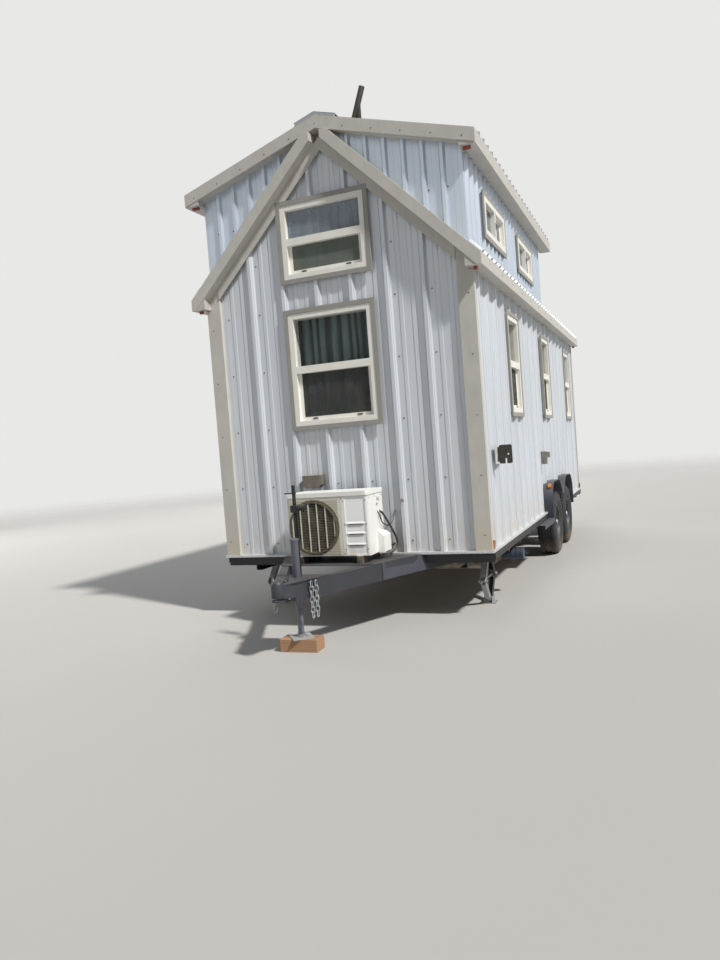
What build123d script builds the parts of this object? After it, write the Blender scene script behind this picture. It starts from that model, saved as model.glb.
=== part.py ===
"""Tiny house on a tandem-axle trailer, in millimetres.

X runs across the house, +Y from the tongue to the rear and +Z up. The origin is on the
ground, under the middle of the overall length. Heights named ..._H are above the bottom of
the siding, and distances named ..._AT are behind the face of the front wall.
"""

from build123d import *
from math import atan2, cos, degrees, hypot, radians, sin, tan
import os

# Clearances
GAP = 0.3
RUN_GAP = 6.0

# House body
HOUSE_WIDTH = 2286.0
HOUSE_LENGTH = 6100.0
SIDING_HEIGHT = 530.0
WALL = 115.0
SHEET = 4.0
FLOOR = 120.0

# Main roof
MAIN_PITCH = 45.0
EAVE_TOP_H = 2228.0
MAIN_ROOF = 88.0
EAVE_OVERHANG = 119.0
EAVE_DEEP = 88.0
GABLE_OVERHANG = 130.0
SIDE_WALL_DROP = 2.0

# Dormer, one wide low roof over the front of the house
DORMER_PITCH = 16.85
DORMER_RIDGE_RISE = 25.0
DORMER_ROOF = 96.0
DORMER_EAVE_OVERHANG = 123.0
DORMER_EAVE_DEEP = 101.6
DORMER_LENGTH = 3520.0
DORMER_FRONT_OVERHANG = 95.0
DORMER_REAR_OVERHANG = 195.0

# Sheet metal siding and roofing
MAJOR_PITCH = 304.8
MAJOR_FIRST_X = -740.0
MAJOR_FIRST_AT = 150.0
MAJOR_RIB = (66.0, 28.0, 32.0)
MINOR_RIB = (44.0, 26.0, 4.0)
NARROW_PITCH = 152.4
NARROW_RIB = (52.0, 24.0, 25.0)
ROOFING_RIB = (52.0, 24.0, 22.0)

# Trim
TRIM_METAL = 3.0
CORNER_FACE = 130.0
CORNER_RETURN = 52.0
FRIEZE = 72.0
FASCIA = 5.0
FLASHING_REACH = 50.0
FLASHING = 18.0
CASING = 38.0
CASING_DEPTH = 12.0

# Windows: width and height of the vinyl frames
FRAME_DEPTH = 96.0
FRAME_PROUD = 38.0
FRAME_FACE = 42.0
SASH_FACE = 30.0
PANE = 6.0
SASH_STEP = 34.0
FRONT_WINDOW_X = -32.0
LOUNGE_WINDOW = (740.0, 925.0)
LOUNGE_HEAD_DROP = 1492.0
LOFT_WINDOW = (740.0, 600.0)
LOFT_SILL_DROP = 1206.0
SIDE_WINDOW = (504.0, 884.0)
SIDE_HEAD_DROP = 183.0
SIDE_WINDOWS_AT = (1420.0, 3380.0, 5335.0)
DORMER_WINDOW = (800.0, 310.0)
DORMER_HEAD_DROP = 238.4
DORMER_WINDOWS_AT = (930.0, 2420.0)
CURTAIN = 30.0

# Entrance door on the left side
DOOR_WIDE = 812.0
DOOR_HEAD_DROP = 90.0
DOOR_AT = 1560.0
DOOR_LEAF = 44.0
DOOR_FRAME = 32.0

# Trailer
RAIL_IN = 253.0
RAIL_WIDE = 60.0
RAIL_DEEP = 127.0
RAIL_SHEET = 6.0
RAIL_TOP_H = -20.0
CROSS_DEEP = 76.0
CROSS_WIDE = 50.0
CROSS_COUNT = 11
RUB_RAIL_OUT = 49.0
RUB_RAIL = 50.0
RUB_SHEET = 6.0
TONGUE_REACH = 1340.0
TONGUE_ANGLE = 25.0
TONGUE_FRONT_X = 48.0
DECK_PLATE = 6.0
DECK_FRONT = 60.0

# Wheels and fenders
TYRE_DIAMETER = 720.0
TYRE_WIDTH = 215.0
RIM_DIAMETER = 390.0
TYRE_BEAD = (8.0, 0.82)
TYRE_BULGE = 60.0
TYRE_SHOULDER = (45.0, 0.98)
TREAD_EDGE = (8.0, 0.8)
TREAD_FLAT = 0.56
RIM_LIP = 14.0
RIM_WELL = 30.0
RIM_BACK = (6.0, 40.0)
DISC_FACE = (0.29, 0.12, 0.16)
HUB_FLANGE = 25.0
WHEEL_IN = 1.0
WHEELS_AT = (3200.0, 4090.0)
FENDER_FRONT_AT = 2720.0
FENDER_OUT = 114.0
FENDER_IN = 178.0
FENDER_TOP_H = 318.0
FENDER_VALLEY_H = 130.0
FENDER_FOOT_H = -75.0
FENDER_SHEET = 4.0
HUMP_RADIUS = 240.0
VALLEY_RADIUS = 110.0
HUMP_FLAT = 165.0
VALLEY_FLAT = 60.0
STEP_LENGTH = 680.0
STEP_OUT = 119.0
STEP_LIP = 40.0

# Tongue jack
JACK_BACK = 335.0
JACK_TUBE_R = 28.0
JACK_TUBE_WALL = 5.0
JACK_TUBE_TOP_H = 250.0
JACK_TUBE_BOTTOM_H = -205.0
JACK_LEG_R = 22.0
JACK_CAP = (4.0, 16.0)
JACK_LEG_IN = 120.0
JACK_LEG_WALL = 4.0
JACK_COLLAR = (6.0, 24.0)
JACK_FOOT = (150.0, 8.0)
JACK_FOOT_TURN = 40.0
BLOCK = (285.0, 140.0, 89.0)
BLOCK_TURN = 3.0

# Stabiliser scissor jacks
STAB_IN = 153.0
STAB_AT = 550.0
STAB_SPREAD = 156.0
STAB_PIVOT_APART = 54.0
STAB_CHANNEL = 44.0
STAB_CHANNEL_WIDE = 52.0
STAB_SHEET = 4.0
STAB_FOOT = (125.0, 110.0, 8.0)
STAB_EAR_GAP = 5.2
STAB_ARM_GAP = 1.5
STAB_PIN_R = 6.0
STAB_PIN_X = 38.0
STAB_SCREW_R = 7.0
STAB_NUT_GAP = 1.0
STAB_TRUNNION_R = 12.0
STAB_SCREW_OUT = 62.0
STAB_PLATE = 6.0

# Outdoor unit of the air conditioner
AC_SIZE = (680.0, 340.0, 490.0)
AC_LEFT_X = -330.0
AC_FRONT_AT = -460.0
AC_BOTTOM_H = 45.0
AC_CORNER_R = 22.0
AC_LID = (34.0, 5.0)
AC_PANEL = (162.0, 24.0, 4.0)
AC_LOUVRE = (150.0, 14.0, 7.0)
AC_LOUVRES_H = (130.0, 214.0, 290.0)
AC_FOOT = (44.0, 12.0)
AC_COVER = (52.0, 150.0, 165.0)
AC_HANDLE = (70.0, 22.0, 10.0)
AC_LINE_R = (13.0, 7.0)
AC_POWER_H = 360.0
FAN_X = -105.0
FAN_H = 268.0
FAN_BORE_R = 192.0
FAN_R = 180.0
FAN_HUB_R = 42.0
FAN_HUB_LONG = 50.0
FAN_BLADES = 3
FAN_BLADE = 4.0
FAN_TWIST = 22.0
FAN_SHAFT_R = 6.0
FAN_IN = 78.0
AC_WELL = 200.0
MOTOR_LONG = 70.0
GUARD_DEEP = 14.0
GUARD_RIM = 10.0
GUARD_BAR = 8.0
GUARD_BARS = 6
GUARD_PITCH = 71.0

# Coupler
COUPLER_LENGTH = 170.0
COUPLER_LAP = 260.0
COUPLER_PLATE = 8.0
NOSE_DROP = 22.0
SOCKET_R = 30.2
SOCKET_WALL = 14.0
SOCKET_DEEP = 78.0
SOCKET_STRAIGHT = 26.0

# Axles
HUB_R = 32.0
HUB_DEEP = 40.0
TORSION_ARM = 150.0
TORSION_ARM_WIDE = 26.0
AXLE_TUBE = 76.0
STUB_OUT = 24.0
STUB_GAP = 1.0

# Safety chains: half length, half width and wire of a link; strands behind the nose
CHAIN_LINK = (26.0, 17.0, 8.0)
LINK_CUT = 0.55
CHAIN_PEG_H = -36.0
CHAIN_PEG_R = 5.0
CHAIN_OUT = 24.0
RIGHT_CHAINS_BACK = (257.0, 295.0)
LEFT_CHAINS_BACK = (250.0, 290.0)
RIGHT_LINK_COUNT = 7
LEFT_LINK_COUNT = 6

# Drain under the front of the house
DRAIN_AT = 950.0
DRAIN_H = -280.0
DRAIN_R = 28.0
DRAIN_X = (420.0, 900.0)
DRAIN_RISER_X = 600.0
DRAIN_END_H = -180.0
DRAIN_END_R = 50.0
DRAIN_END_X = (1040.0, 1230.0)
HOSE_RIBS = 4
HOSE_RIB = 6.0

# Pipe on the dormer's ridge
MAST_AT = 610.0
MAST_R = 26.0
MAST_FOOT_X = 4.0
MAST_TIP_X = 164.0
MAST_RISE = 470.0
PROP_R = 19.0
PROP_X = 120.0
RIDGE_CAP = 180.0

# Box on the front wall
JUNCTION_X = (-370.0, -200.0)
JUNCTION_H = (555.0, 660.0)
JUNCTION_DEEP = 70.0
JUNCTION_CUT = 24.0

# Outlet box on the right wall
OUTLET_AT = 2690.0
OUTLET = (78.0, 84.0, 11.0)
OUTLET_COVER = (34.0, 9.0)
OUTLET_H = (528.0, 665.0)
OUTLET_PIPE_H = 420.0

# Boards under the rakes
BOARD = 12.0

# Post and plug at the jack
POST = (12.0, 32.0)
POST_BACK = 50.0
POST_TOP_H = 630.0
POST_PIN = (-72.0, 16.0, 572.0, 5.0)
PLUG = (6.0, 86.0, 470.0, 20.0)
CLAMP = (46.0, 52.0, 48.0)
CLAMP_H = 440.0
LEAD_R = 5.0
LEAD_TOP_H = 500.0

# Marker lamps
LAMP = (60.0, 24.0, 24.0)
LAMP_IN_X = 100.0
LAMP_OUT = 38.0
CORNER_LAMP = (12.0, 34.0, 66.0)
CORNER_LAMP_H = 8.0
FENDER_LAMP = (34.0, 62.0, 24.0)
FENDER_LAMP_IN = 39.0
FENDER_LAMP_LEAN = 38.0

# Power inlet on the right wall
HATCH_AT = 310.0
HATCH = (140.0, 150.0)
HATCH_H = 645.0
HATCH_DEPTH = 14.0
LID = 8.0
LID_GAP = 5.0
LID_WIDE = 112.0
LID_CORNER_R = 14.0
LID_PIN_R = 2.0
KNUCKLE = 16.0
LID_NOTCH = (62.0, 42.0)
THUMB_R = 7.0
THUMB_IN = 30.0
HATCH_CUP_R = 48.0
HATCH_CUP_DEEP = 8.4

# Worked out from the sizes above
HALF = HOUSE_WIDTH / 2
STUD_X = HALF - SHEET
FRONT_Y = -(HOUSE_LENGTH + GABLE_OVERHANG + FASCIA - TONGUE_REACH) / 2
BACK_Y = FRONT_Y + HOUSE_LENGTH
BASE_Z = SIDING_HEIGHT
DORMER_BACK_Y = FRONT_Y + DORMER_LENGTH
MAIN_SLOPE = tan(radians(MAIN_PITCH))
DORMER_SLOPE = tan(radians(DORMER_PITCH))
MAIN_DROP = MAIN_ROOF / cos(radians(MAIN_PITCH))
DORMER_DROP = DORMER_ROOF / cos(radians(DORMER_PITCH))
EAVE_X = HALF + EAVE_OVERHANG
DORMER_EAVE_X = HALF + DORMER_EAVE_OVERHANG
EAVE_BOTTOM_H = EAVE_TOP_H - EAVE_DEEP
SIDE_WALL_TOP_H = EAVE_TOP_H - SIDE_WALL_DROP
MAIN_RIDGE_H = EAVE_TOP_H + EAVE_X * MAIN_SLOPE
DORMER_RIDGE_H = MAIN_RIDGE_H + DORMER_RIDGE_RISE
DORMER_EAVE_BOTTOM_H = DORMER_RIDGE_H - DORMER_EAVE_X * DORMER_SLOPE - DORMER_EAVE_DEEP
DORMER_WALL_TOP_H = DORMER_RIDGE_H - DORMER_DROP - STUD_X * DORMER_SLOPE - GAP
LOFT_SILL_H = MAIN_RIDGE_H - LOFT_SILL_DROP
LOUNGE_SILL_H = MAIN_RIDGE_H - LOUNGE_HEAD_DROP - LOUNGE_WINDOW[1]
SIDE_SILL_H = EAVE_BOTTOM_H - SIDE_HEAD_DROP - SIDE_WINDOW[1]
DOOR = (DOOR_WIDE, EAVE_BOTTOM_H - DOOR_HEAD_DROP - FLOOR)
DORMER_SILL_H = DORMER_WALL_TOP_H - DORMER_HEAD_DROP - DORMER_WINDOW[1]
MAST_TIP_H = DORMER_RIDGE_H + MAST_RISE
RAIL_X = HALF - RAIL_IN
RUB_RAIL_X = HALF + RUB_RAIL_OUT
WHEEL_X = HALF - WHEEL_IN
FENDER_OUT_X = HALF + FENDER_OUT
FENDER_IN_X = HALF - FENDER_IN
FENDER_LAMP_X = FENDER_OUT_X - FENDER_LAMP_IN
STEP_OUT_X = HALF + STEP_OUT
STAB_X = HALF - STAB_IN
JACK_AT = JACK_BACK - TONGUE_REACH
PROUD = MAJOR_RIB[2]


def y_at(distance):
    """Place along the house, from a distance behind the face of the front wall."""
    return FRONT_Y + distance


def z_h(height):
    """Place above the ground, from a height above the bottom of the siding."""
    return BASE_Z + height


def main_top(x):
    """Top of the main roof's deck."""
    return z_h(MAIN_RIDGE_H) - abs(x) * MAIN_SLOPE


def main_under(x):
    return main_top(x) - MAIN_DROP


def dormer_top(x):
    """Top of the dormer roof's deck."""
    return z_h(DORMER_RIDGE_H) - abs(x) * DORMER_SLOPE


def dormer_under(x):
    return dormer_top(x) - DORMER_DROP


def block(x0, x1, y0, y1, z0, z1):
    middle = Pos((x0 + x1) / 2, (y0 + y1) / 2, (z0 + z1) / 2)
    return middle * Box(abs(x1 - x0), abs(y1 - y0), abs(z1 - z0))


def along_y(points, y0, y1):
    """Prism of (x, z) points from y0 to y1."""
    face = make_face(Polyline([(x, y0, z) for x, z in points], close=True))
    return extrude(face, amount=y1 - y0, dir=(0, 1, 0))


def along_x(points, x0, x1):
    """Prism of (y, z) points from x0 to x1."""
    face = make_face(Polyline([(x0, y, z) for y, z in points], close=True))
    return extrude(face, amount=x1 - x0, dir=(1, 0, 0))


def along_z(points, z0, z1):
    """Prism of (x, y) points from z0 to z1."""
    face = make_face(Polyline([(x, y, z0) for x, y in points], close=True))
    return extrude(face, amount=z1 - z0, dir=(0, 0, 1))


def rod(start, end, radius):
    """Round bar between two points."""
    path = Vector(*end) - Vector(*start)
    plane = Plane(origin=start, z_dir=path)
    return extrude(plane * Circle(radius), amount=path.length)


def mirrored(shape):
    return mirror(shape, about=Plane.YZ)


def both_sides(shape):
    """A piece on the right side and the same on the left."""
    return [shape, mirrored(shape)]


def write(name, *pieces):
    """Writes one node, a STEP file of one or more solids."""
    flat = []
    for piece in pieces:
        flat.extend(piece if isinstance(piece, (list, tuple)) else [piece])
    solids = [solid for piece in flat for solid in piece.solids()]
    export_step(Compound(solids), f"parts/{name}.step")


# Windows and doorway


def front_openings():
    """(x, sill height, size) of each window in an end wall."""
    return [
        (FRONT_WINDOW_X, LOUNGE_SILL_H, LOUNGE_WINDOW),
        (FRONT_WINDOW_X, LOFT_SILL_H, LOFT_WINDOW),
    ]


def side_openings(side):
    """(distance, sill height, size) of each window in a side wall: 1 right, -1 left."""
    low = [(at, SIDE_SILL_H, SIDE_WINDOW) for at in SIDE_WINDOWS_AT]
    if side < 0:
        low = [row for row in low if abs(row[0] - DOOR_AT) > DOOR[0] / 2 + SIDE_WINDOW[0] / 2]
    high = [(at, DORMER_SILL_H, DORMER_WINDOW) for at in DORMER_WINDOWS_AT]
    return low + high


def end_hole(x, sill, size, y0, y1, grow=0.0):
    """Block through an end wall at a window."""
    wide, high = size
    return block(
        x - wide / 2 - grow, x + wide / 2 + grow, y0, y1, z_h(sill) - grow, z_h(sill + high) + grow
    )


def side_hole(at, sill, size, x0, x1, grow=0.0):
    """Block through a side wall at a window."""
    wide, high = size
    y = y_at(at)
    return block(
        x0, x1, y - wide / 2 - grow, y + wide / 2 + grow, z_h(sill) - grow, z_h(sill + high) + grow
    )


def door_hole(x0, x1, grow=0.0):
    """Block through the left wall at the doorway, down to the floor."""
    wide, high = DOOR
    y = y_at(DOOR_AT)
    return block(
        x0, x1, y - wide / 2 - grow, y + wide / 2 + grow, z_h(FLOOR), z_h(FLOOR + high) + grow
    )


# Fender outline, used by the fender, the wall and the siding


def fender_path(offset=0.0, foot=FENDER_FOOT_H):
    """(y, z) outline of the two humps, grown by offset, from foot to foot."""
    first, second = (y_at(at) for at in WHEELS_AT)
    front = y_at(FENDER_FRONT_AT) - offset
    back = first + second - front
    middle = (first + second) / 2
    top = z_h(FENDER_TOP_H) + offset
    valley = z_h(FENDER_VALLEY_H) + offset
    return [
        (front, z_h(foot)),
        (front, top),
        (first + HUMP_FLAT, top),
        (middle - VALLEY_FLAT, valley),
        (middle + VALLEY_FLAT, valley),
        (second - HUMP_FLAT, top),
        (back, top),
        (back, z_h(foot)),
    ]


def fender_wire(offset=0.0, foot=FENDER_FOOT_H, x=0.0):
    """The rounded hump line in the plane at x."""
    points = [(x, y, z) for y, z in fender_path(offset, foot)]
    hump = HUMP_RADIUS + offset
    valley = VALLEY_RADIUS - offset
    radii = [hump, hump, valley, valley, hump, hump]
    return FilletPolyline(*points, radius=radii)


def fender_body(offset, x0, x1, foot=FENDER_FOOT_H):
    """Solid under the hump line, between x0 and x1."""
    line = fender_wire(offset, foot, x0)
    face = make_face(line + [Line(line @ 1, line @ 0)])
    return extrude(face, amount=x1 - x0, dir=(1, 0, 0))


# House body


def floor_deck():
    """Floor between the outer faces of the studs, notched over the wheels."""
    deck = block(-STUD_X, STUD_X, FRONT_Y + SHEET, BACK_Y - SHEET, z_h(0), z_h(FLOOR))
    well = wheel_well(z_h(0), z_h(FLOOR))
    return deck - well - mirrored(well)


def wheel_well(z0, z1):
    """Rectangular hole that the fender fills."""
    path = fender_path()
    return block(FENDER_IN_X - GAP, STUD_X, path[0][0] - GAP, path[-1][0] + GAP, z0, z1)


def end_wall(y0, y1, top_points):
    """Wall across the house under a list of (x, z) roof points, with its windows cut."""
    outline = [(-STUD_X, z_h(FLOOR)), *top_points, (STUD_X, z_h(FLOOR))]
    wall = along_y(outline, y0, y1)
    for x, sill, size in front_openings():
        wall -= end_hole(x, sill, size, y0, y1)
    return wall


def front_wall():
    side_top = z_h(DORMER_WALL_TOP_H)
    inner = STUD_X - WALL
    slope = [(inner, side_top), (inner, dormer_under(inner))]
    right = [(STUD_X, side_top), *slope]
    top = [(-x, z) for x, z in right] + [(0, dormer_under(0))] + right[::-1]
    return end_wall(FRONT_Y + SHEET, FRONT_Y + SHEET + WALL, top)


def rear_wall():
    side_top = z_h(SIDE_WALL_TOP_H)
    inner = STUD_X - WALL
    right = [(STUD_X, side_top), (inner, side_top), (inner, main_under(inner))]
    top = [(-x, z) for x, z in right] + [(0, main_under(0))] + right[::-1]
    return end_wall(BACK_Y - SHEET - WALL, BACK_Y - SHEET, top)


def side_wall(side):
    """Wall from the floor to the eave, raised to the dormer's eave along the dormer."""
    y0 = FRONT_Y + SHEET + WALL
    y1 = BACK_Y - SHEET - WALL
    outline = [
        (y0, z_h(FLOOR)),
        (y0, z_h(DORMER_WALL_TOP_H)),
        (DORMER_BACK_Y, z_h(DORMER_WALL_TOP_H)),
        (DORMER_BACK_Y, z_h(SIDE_WALL_TOP_H)),
        (y1, z_h(SIDE_WALL_TOP_H)),
        (y1, z_h(FLOOR)),
    ]
    x0 = STUD_X - WALL
    wall = along_x(outline, x0, STUD_X)
    path = fender_path(GAP)
    wall -= block(x0, STUD_X, path[0][0], path[-1][0], z_h(0), path[1][1])
    if side < 0:
        wall = mirrored(wall) - door_hole(-STUD_X, -x0)
    for at, sill, size in side_openings(side):
        wall -= side_hole(at, sill, size, side * x0, side * STUD_X)
    return wall


def dormer_back_wall():
    """The two triangles between the main roof and the dormer roof."""
    inner = STUD_X - WALL
    meet = gable_rake_top_x()
    points = [
        (meet, main_top(meet)),
        (inner, main_top(inner)),
        (inner, dormer_under(inner)),
    ]
    right = along_y(points, DORMER_BACK_Y - WALL, DORMER_BACK_Y)
    return both_sides(right)


def main_roof():
    """Right half of the 45 degree roof behind the dormer, with its boxed eave."""
    outline = [
        (0, main_top(0)),
        (EAVE_X, main_top(EAVE_X)),
        (EAVE_X, z_h(EAVE_BOTTOM_H)),
        (STUD_X, z_h(EAVE_BOTTOM_H)),
        (STUD_X, main_under(STUD_X)),
        (0, main_under(0)),
    ]
    y0 = DORMER_BACK_Y - WALL
    rear = along_y(outline, y0, BACK_Y + GABLE_OVERHANG)
    seat = block(
        STUD_X - WALL, STUD_X, y0, BACK_Y - SHEET, z_h(FLOOR), z_h(SIDE_WALL_TOP_H)
    )
    upstand = block(
        STUD_X - WALL, STUD_X, y0, DORMER_BACK_Y, z_h(FLOOR), z_h(DORMER_WALL_TOP_H)
    )
    skirt = [
        (STUD_X, main_top(STUD_X)),
        (EAVE_X, main_top(EAVE_X)),
        (EAVE_X, z_h(EAVE_BOTTOM_H)),
        (STUD_X, z_h(EAVE_BOTTOM_H)),
    ]
    strip = along_y(skirt, FRONT_Y - GABLE_OVERHANG, y0)
    return rear - seat - upstand - dormer_shadow() + strip


def dormer_shadow(gap=0.0):
    """Everything above the dormer roof's underside, back to its rear fascia."""
    x = DORMER_EAVE_X + FASCIA + gap
    outline = [
        (-x, dormer_under(x) - gap),
        (0, dormer_under(0) - gap),
        (x, dormer_under(x) - gap),
        (x, dormer_top(0) + DORMER_DROP),
        (-x, dormer_top(0) + DORMER_DROP),
    ]
    return along_y(outline, FRONT_Y, DORMER_BACK_Y + DORMER_REAR_OVERHANG + FASCIA + gap)


def gable_rake():
    """Right box of the front rake, which carries the main roof's line up the gable."""
    top_x = gable_rake_top_x()
    outline = [
        (top_x, main_top(top_x)),
        (STUD_X, main_top(STUD_X)),
        (STUD_X, main_under(STUD_X)),
        (top_x - MAIN_DROP / 2, main_under(top_x - MAIN_DROP / 2)),
        (top_x - MAIN_DROP / 2, main_top(top_x)),
    ]
    return along_y(outline, FRONT_Y - GABLE_OVERHANG, FRONT_Y + SHEET)


def dormer_roof():
    """Both slopes of the dormer roof, seated on the side walls."""
    right = [
        (DORMER_EAVE_X, dormer_top(DORMER_EAVE_X)),
        (DORMER_EAVE_X, z_h(DORMER_EAVE_BOTTOM_H)),
        (HALF, z_h(DORMER_EAVE_BOTTOM_H)),
        (HALF, dormer_under(HALF)),
    ]
    left = [(-x, z) for x, z in right[::-1]]
    outline = [(0, dormer_top(0)), *right, (0, dormer_under(0)), *left]
    roof = along_y(
        outline, FRONT_Y - DORMER_FRONT_OVERHANG, DORMER_BACK_Y + DORMER_REAR_OVERHANG
    )
    seat = block(
        STUD_X - WALL,
        STUD_X,
        FRONT_Y + SHEET,
        DORMER_BACK_Y,
        z_h(DORMER_WALL_TOP_H) - DORMER_DROP,
        z_h(DORMER_WALL_TOP_H),
    )
    return roof - seat - mirrored(seat)


# Ribbed sheets


def ribbed_line(start, end, pitch, first, rib, minors=0, lip=None):
    """Outer line of a ribbed sheet: (u, height) points from start to end."""
    base, top, high = rib
    ribs = []
    count = int((end - start) / pitch) + 2
    begin = first - pitch * int((first - start) / pitch + 1)
    for i in range(count):
        middle = begin + i * pitch
        ribs.append((middle, base, top, high))
        for k in range(minors):
            small = middle + (k + 1) * pitch / (minors + 1)
            ribs.append((small, *MINOR_RIB))
    points = [(start, 0.0)]
    for middle, foot, crest, rise in ribs:
        crossed = lip is not None and abs(abs(middle) - lip) < foot / 2 + TRIM_METAL
        if middle - foot / 2 > start and middle + foot / 2 < end and not crossed:
            points.append((middle - foot / 2, 0.0))
            points.append((middle - crest / 2, rise))
            points.append((middle + crest / 2, rise))
            points.append((middle + foot / 2, 0.0))
    points.append((end, 0.0))
    return points


def sheet_outline(line, back=-SHEET):
    """Closes a ribbed line with the flat back of the sheet."""
    return line + [(line[-1][0], back), (line[0][0], back)]


def front_sheet(line, z0, z1):
    """Sheet on the front wall, standing from z0 to z1."""
    return along_z([(u, FRONT_Y - h) for u, h in sheet_outline(line)], z0, z1)


def right_sheet(line, z0, z1):
    """Sheet on the right wall, its line measured along Y."""
    return along_z([(HALF + h, u) for u, h in sheet_outline(line)], z0, z1)


def major_front_line():
    """Ribs of the front and rear walls, none of them under a corner trim's lip."""
    lip = HALF + PROUD - CORNER_FACE
    return ribbed_line(-STUD_X, STUD_X, MAJOR_PITCH, MAJOR_FIRST_X, MAJOR_RIB, 2, lip)


def major_side_line():
    return ribbed_line(
        FRONT_Y, BACK_Y, MAJOR_PITCH, y_at(MAJOR_FIRST_AT), MAJOR_RIB, 2
    )


def gable_region(y0, y1):
    """Block under the main roof's underside, from the bottom of the siding."""
    outline = [
        (-STUD_X, z_h(0)),
        (-STUD_X, main_under(STUD_X)),
        (0, main_under(0)),
        (STUD_X, main_under(STUD_X)),
        (STUD_X, z_h(0)),
    ]
    return along_y(outline, y0, y1)


def front_gable_siding():
    top = main_under(0)
    sheet = front_sheet(major_front_line(), z_h(0), top)
    sheet &= gable_region(FRONT_Y - PROUD, FRONT_Y + SHEET)
    for x, sill, size in front_openings():
        sheet -= end_hole(x, sill, size, FRONT_Y - PROUD, FRONT_Y + SHEET)
    return sheet


def rear_gable_siding():
    return mirror(front_gable_siding(), about=Plane.XZ.offset(-(FRONT_Y + BACK_Y) / 2))


def side_siding(side):
    """Siding from the base to the eave soffit, cut round the fender."""
    sheet = right_sheet(major_side_line(), z_h(0), z_h(EAVE_BOTTOM_H))
    sheet -= fender_body(GAP, STUD_X, HALF + PROUD, -FLOOR)
    if side < 0:
        sheet = mirrored(sheet) - door_hole(-HALF - PROUD, -STUD_X, DOOR_FRAME)
    for at, sill, size in side_openings(side):
        if sill == SIDE_SILL_H:
            sheet -= side_hole(at, sill, size, side * STUD_X, side * (HALF + PROUD))
    return sheet


def wall_siding():
    return [front_gable_siding(), rear_gable_siding(), side_siding(1), side_siding(-1)]


def dormer_front_sheet():
    """Right piece of the cladding above the rake, on the front wall."""
    line = ribbed_line(0, STUD_X, NARROW_PITCH, NARROW_PITCH / 2, NARROW_RIB)
    sheet = front_sheet(line, main_under(STUD_X), z_h(DORMER_RIDGE_H))
    outline = [
        (gable_rake_top_x(), main_top(gable_rake_top_x())),
        (STUD_X, main_top(STUD_X)),
        (STUD_X, dormer_under(STUD_X)),
    ]
    return sheet & along_y(outline, FRONT_Y - PROUD, FRONT_Y + SHEET)


def gable_rake_top_x():
    """Where the main roof's line runs in under the dormer roof."""
    return (MAIN_RIDGE_H - DORMER_RIDGE_H + DORMER_DROP) / (MAIN_SLOPE - DORMER_SLOPE)


def dormer_side_sheet(side):
    line = ribbed_line(
        FRONT_Y, DORMER_BACK_Y, NARROW_PITCH, y_at(NARROW_PITCH / 2), NARROW_RIB
    )
    sheet = right_sheet(line, main_top(HALF), z_h(DORMER_EAVE_BOTTOM_H))
    slope = [
        (STUD_X, main_top(STUD_X)),
        (HALF + PROUD, main_top(HALF + PROUD)),
        (HALF + PROUD, z_h(EAVE_BOTTOM_H)),
        (STUD_X, z_h(EAVE_BOTTOM_H)),
    ]
    sheet -= along_y(slope, FRONT_Y, DORMER_BACK_Y)
    for at, sill, size in side_openings(1):
        if sill == DORMER_SILL_H:
            sheet -= side_hole(at, sill, size, STUD_X, HALF + PROUD)
    return sheet if side > 0 else mirrored(sheet)


def dormer_back_sheet():
    """Right piece of the cladding on the dormer's back wall."""
    line = ribbed_line(0, STUD_X, NARROW_PITCH, NARROW_PITCH / 2, NARROW_RIB)
    points = [(u, DORMER_BACK_Y + SHEET + h) for u, h in sheet_outline(line)]
    sheet = along_z(points, main_under(STUD_X), z_h(DORMER_RIDGE_H))
    meet = gable_rake_top_x()
    clear = SHEET + PROUD
    outline = [
        (meet + clear, dormer_under(meet + clear)),
        (STUD_X, main_top(STUD_X) + clear),
        (STUD_X, dormer_under(STUD_X)),
    ]
    return sheet & along_y(outline, DORMER_BACK_Y, DORMER_BACK_Y + PROUD + SHEET)


def dormer_siding():
    front = both_sides(dormer_front_sheet())
    back = both_sides(dormer_back_sheet())
    return [*front, *back, dormer_side_sheet(1), dormer_side_sheet(-1)]


def sloped_sheet(line, top_point, pitch, length):
    """Roofing with its ribs down the slope: the line runs along Y."""
    points = [(0, u, h) for u, h in sheet_outline([(u, h + SHEET) for u, h in line], 0)]
    face = make_face(Polyline(*points, close=True))
    sheet = extrude(face, amount=length, dir=(1, 0, 0))
    return Pos(top_point[0], 0, top_point[1]) * Rot(0, pitch, 0) * sheet


def roofing_length(x0, x1, pitch):
    return (x1 - x0) / cos(radians(pitch))


def main_roofing():
    """Right slope behind the dormer and the skirt strip beside it."""
    y0 = DORMER_BACK_Y + SHEET + PROUD
    y1 = BACK_Y + GABLE_OVERHANG
    rib_at = y_at(NARROW_PITCH / 2)
    line = ribbed_line(y0, y1, NARROW_PITCH, rib_at, ROOFING_RIB)
    reach = roofing_length(RUN_GAP, EAVE_X, MAIN_PITCH)
    rear = sloped_sheet(line, (RUN_GAP, main_top(RUN_GAP)), MAIN_PITCH, reach)
    rear -= dormer_shadow(GAP)
    skirt_x = HALF + NARROW_RIB[2] + GAP
    strip_line = ribbed_line(
        FRONT_Y - GABLE_OVERHANG, y0 - GAP, NARROW_PITCH, rib_at, ROOFING_RIB
    )
    skirt_reach = roofing_length(skirt_x, EAVE_X, MAIN_PITCH)
    skirt = sloped_sheet(
        strip_line, (skirt_x, main_top(skirt_x)), MAIN_PITCH, skirt_reach
    )
    return [rear, skirt]


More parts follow.
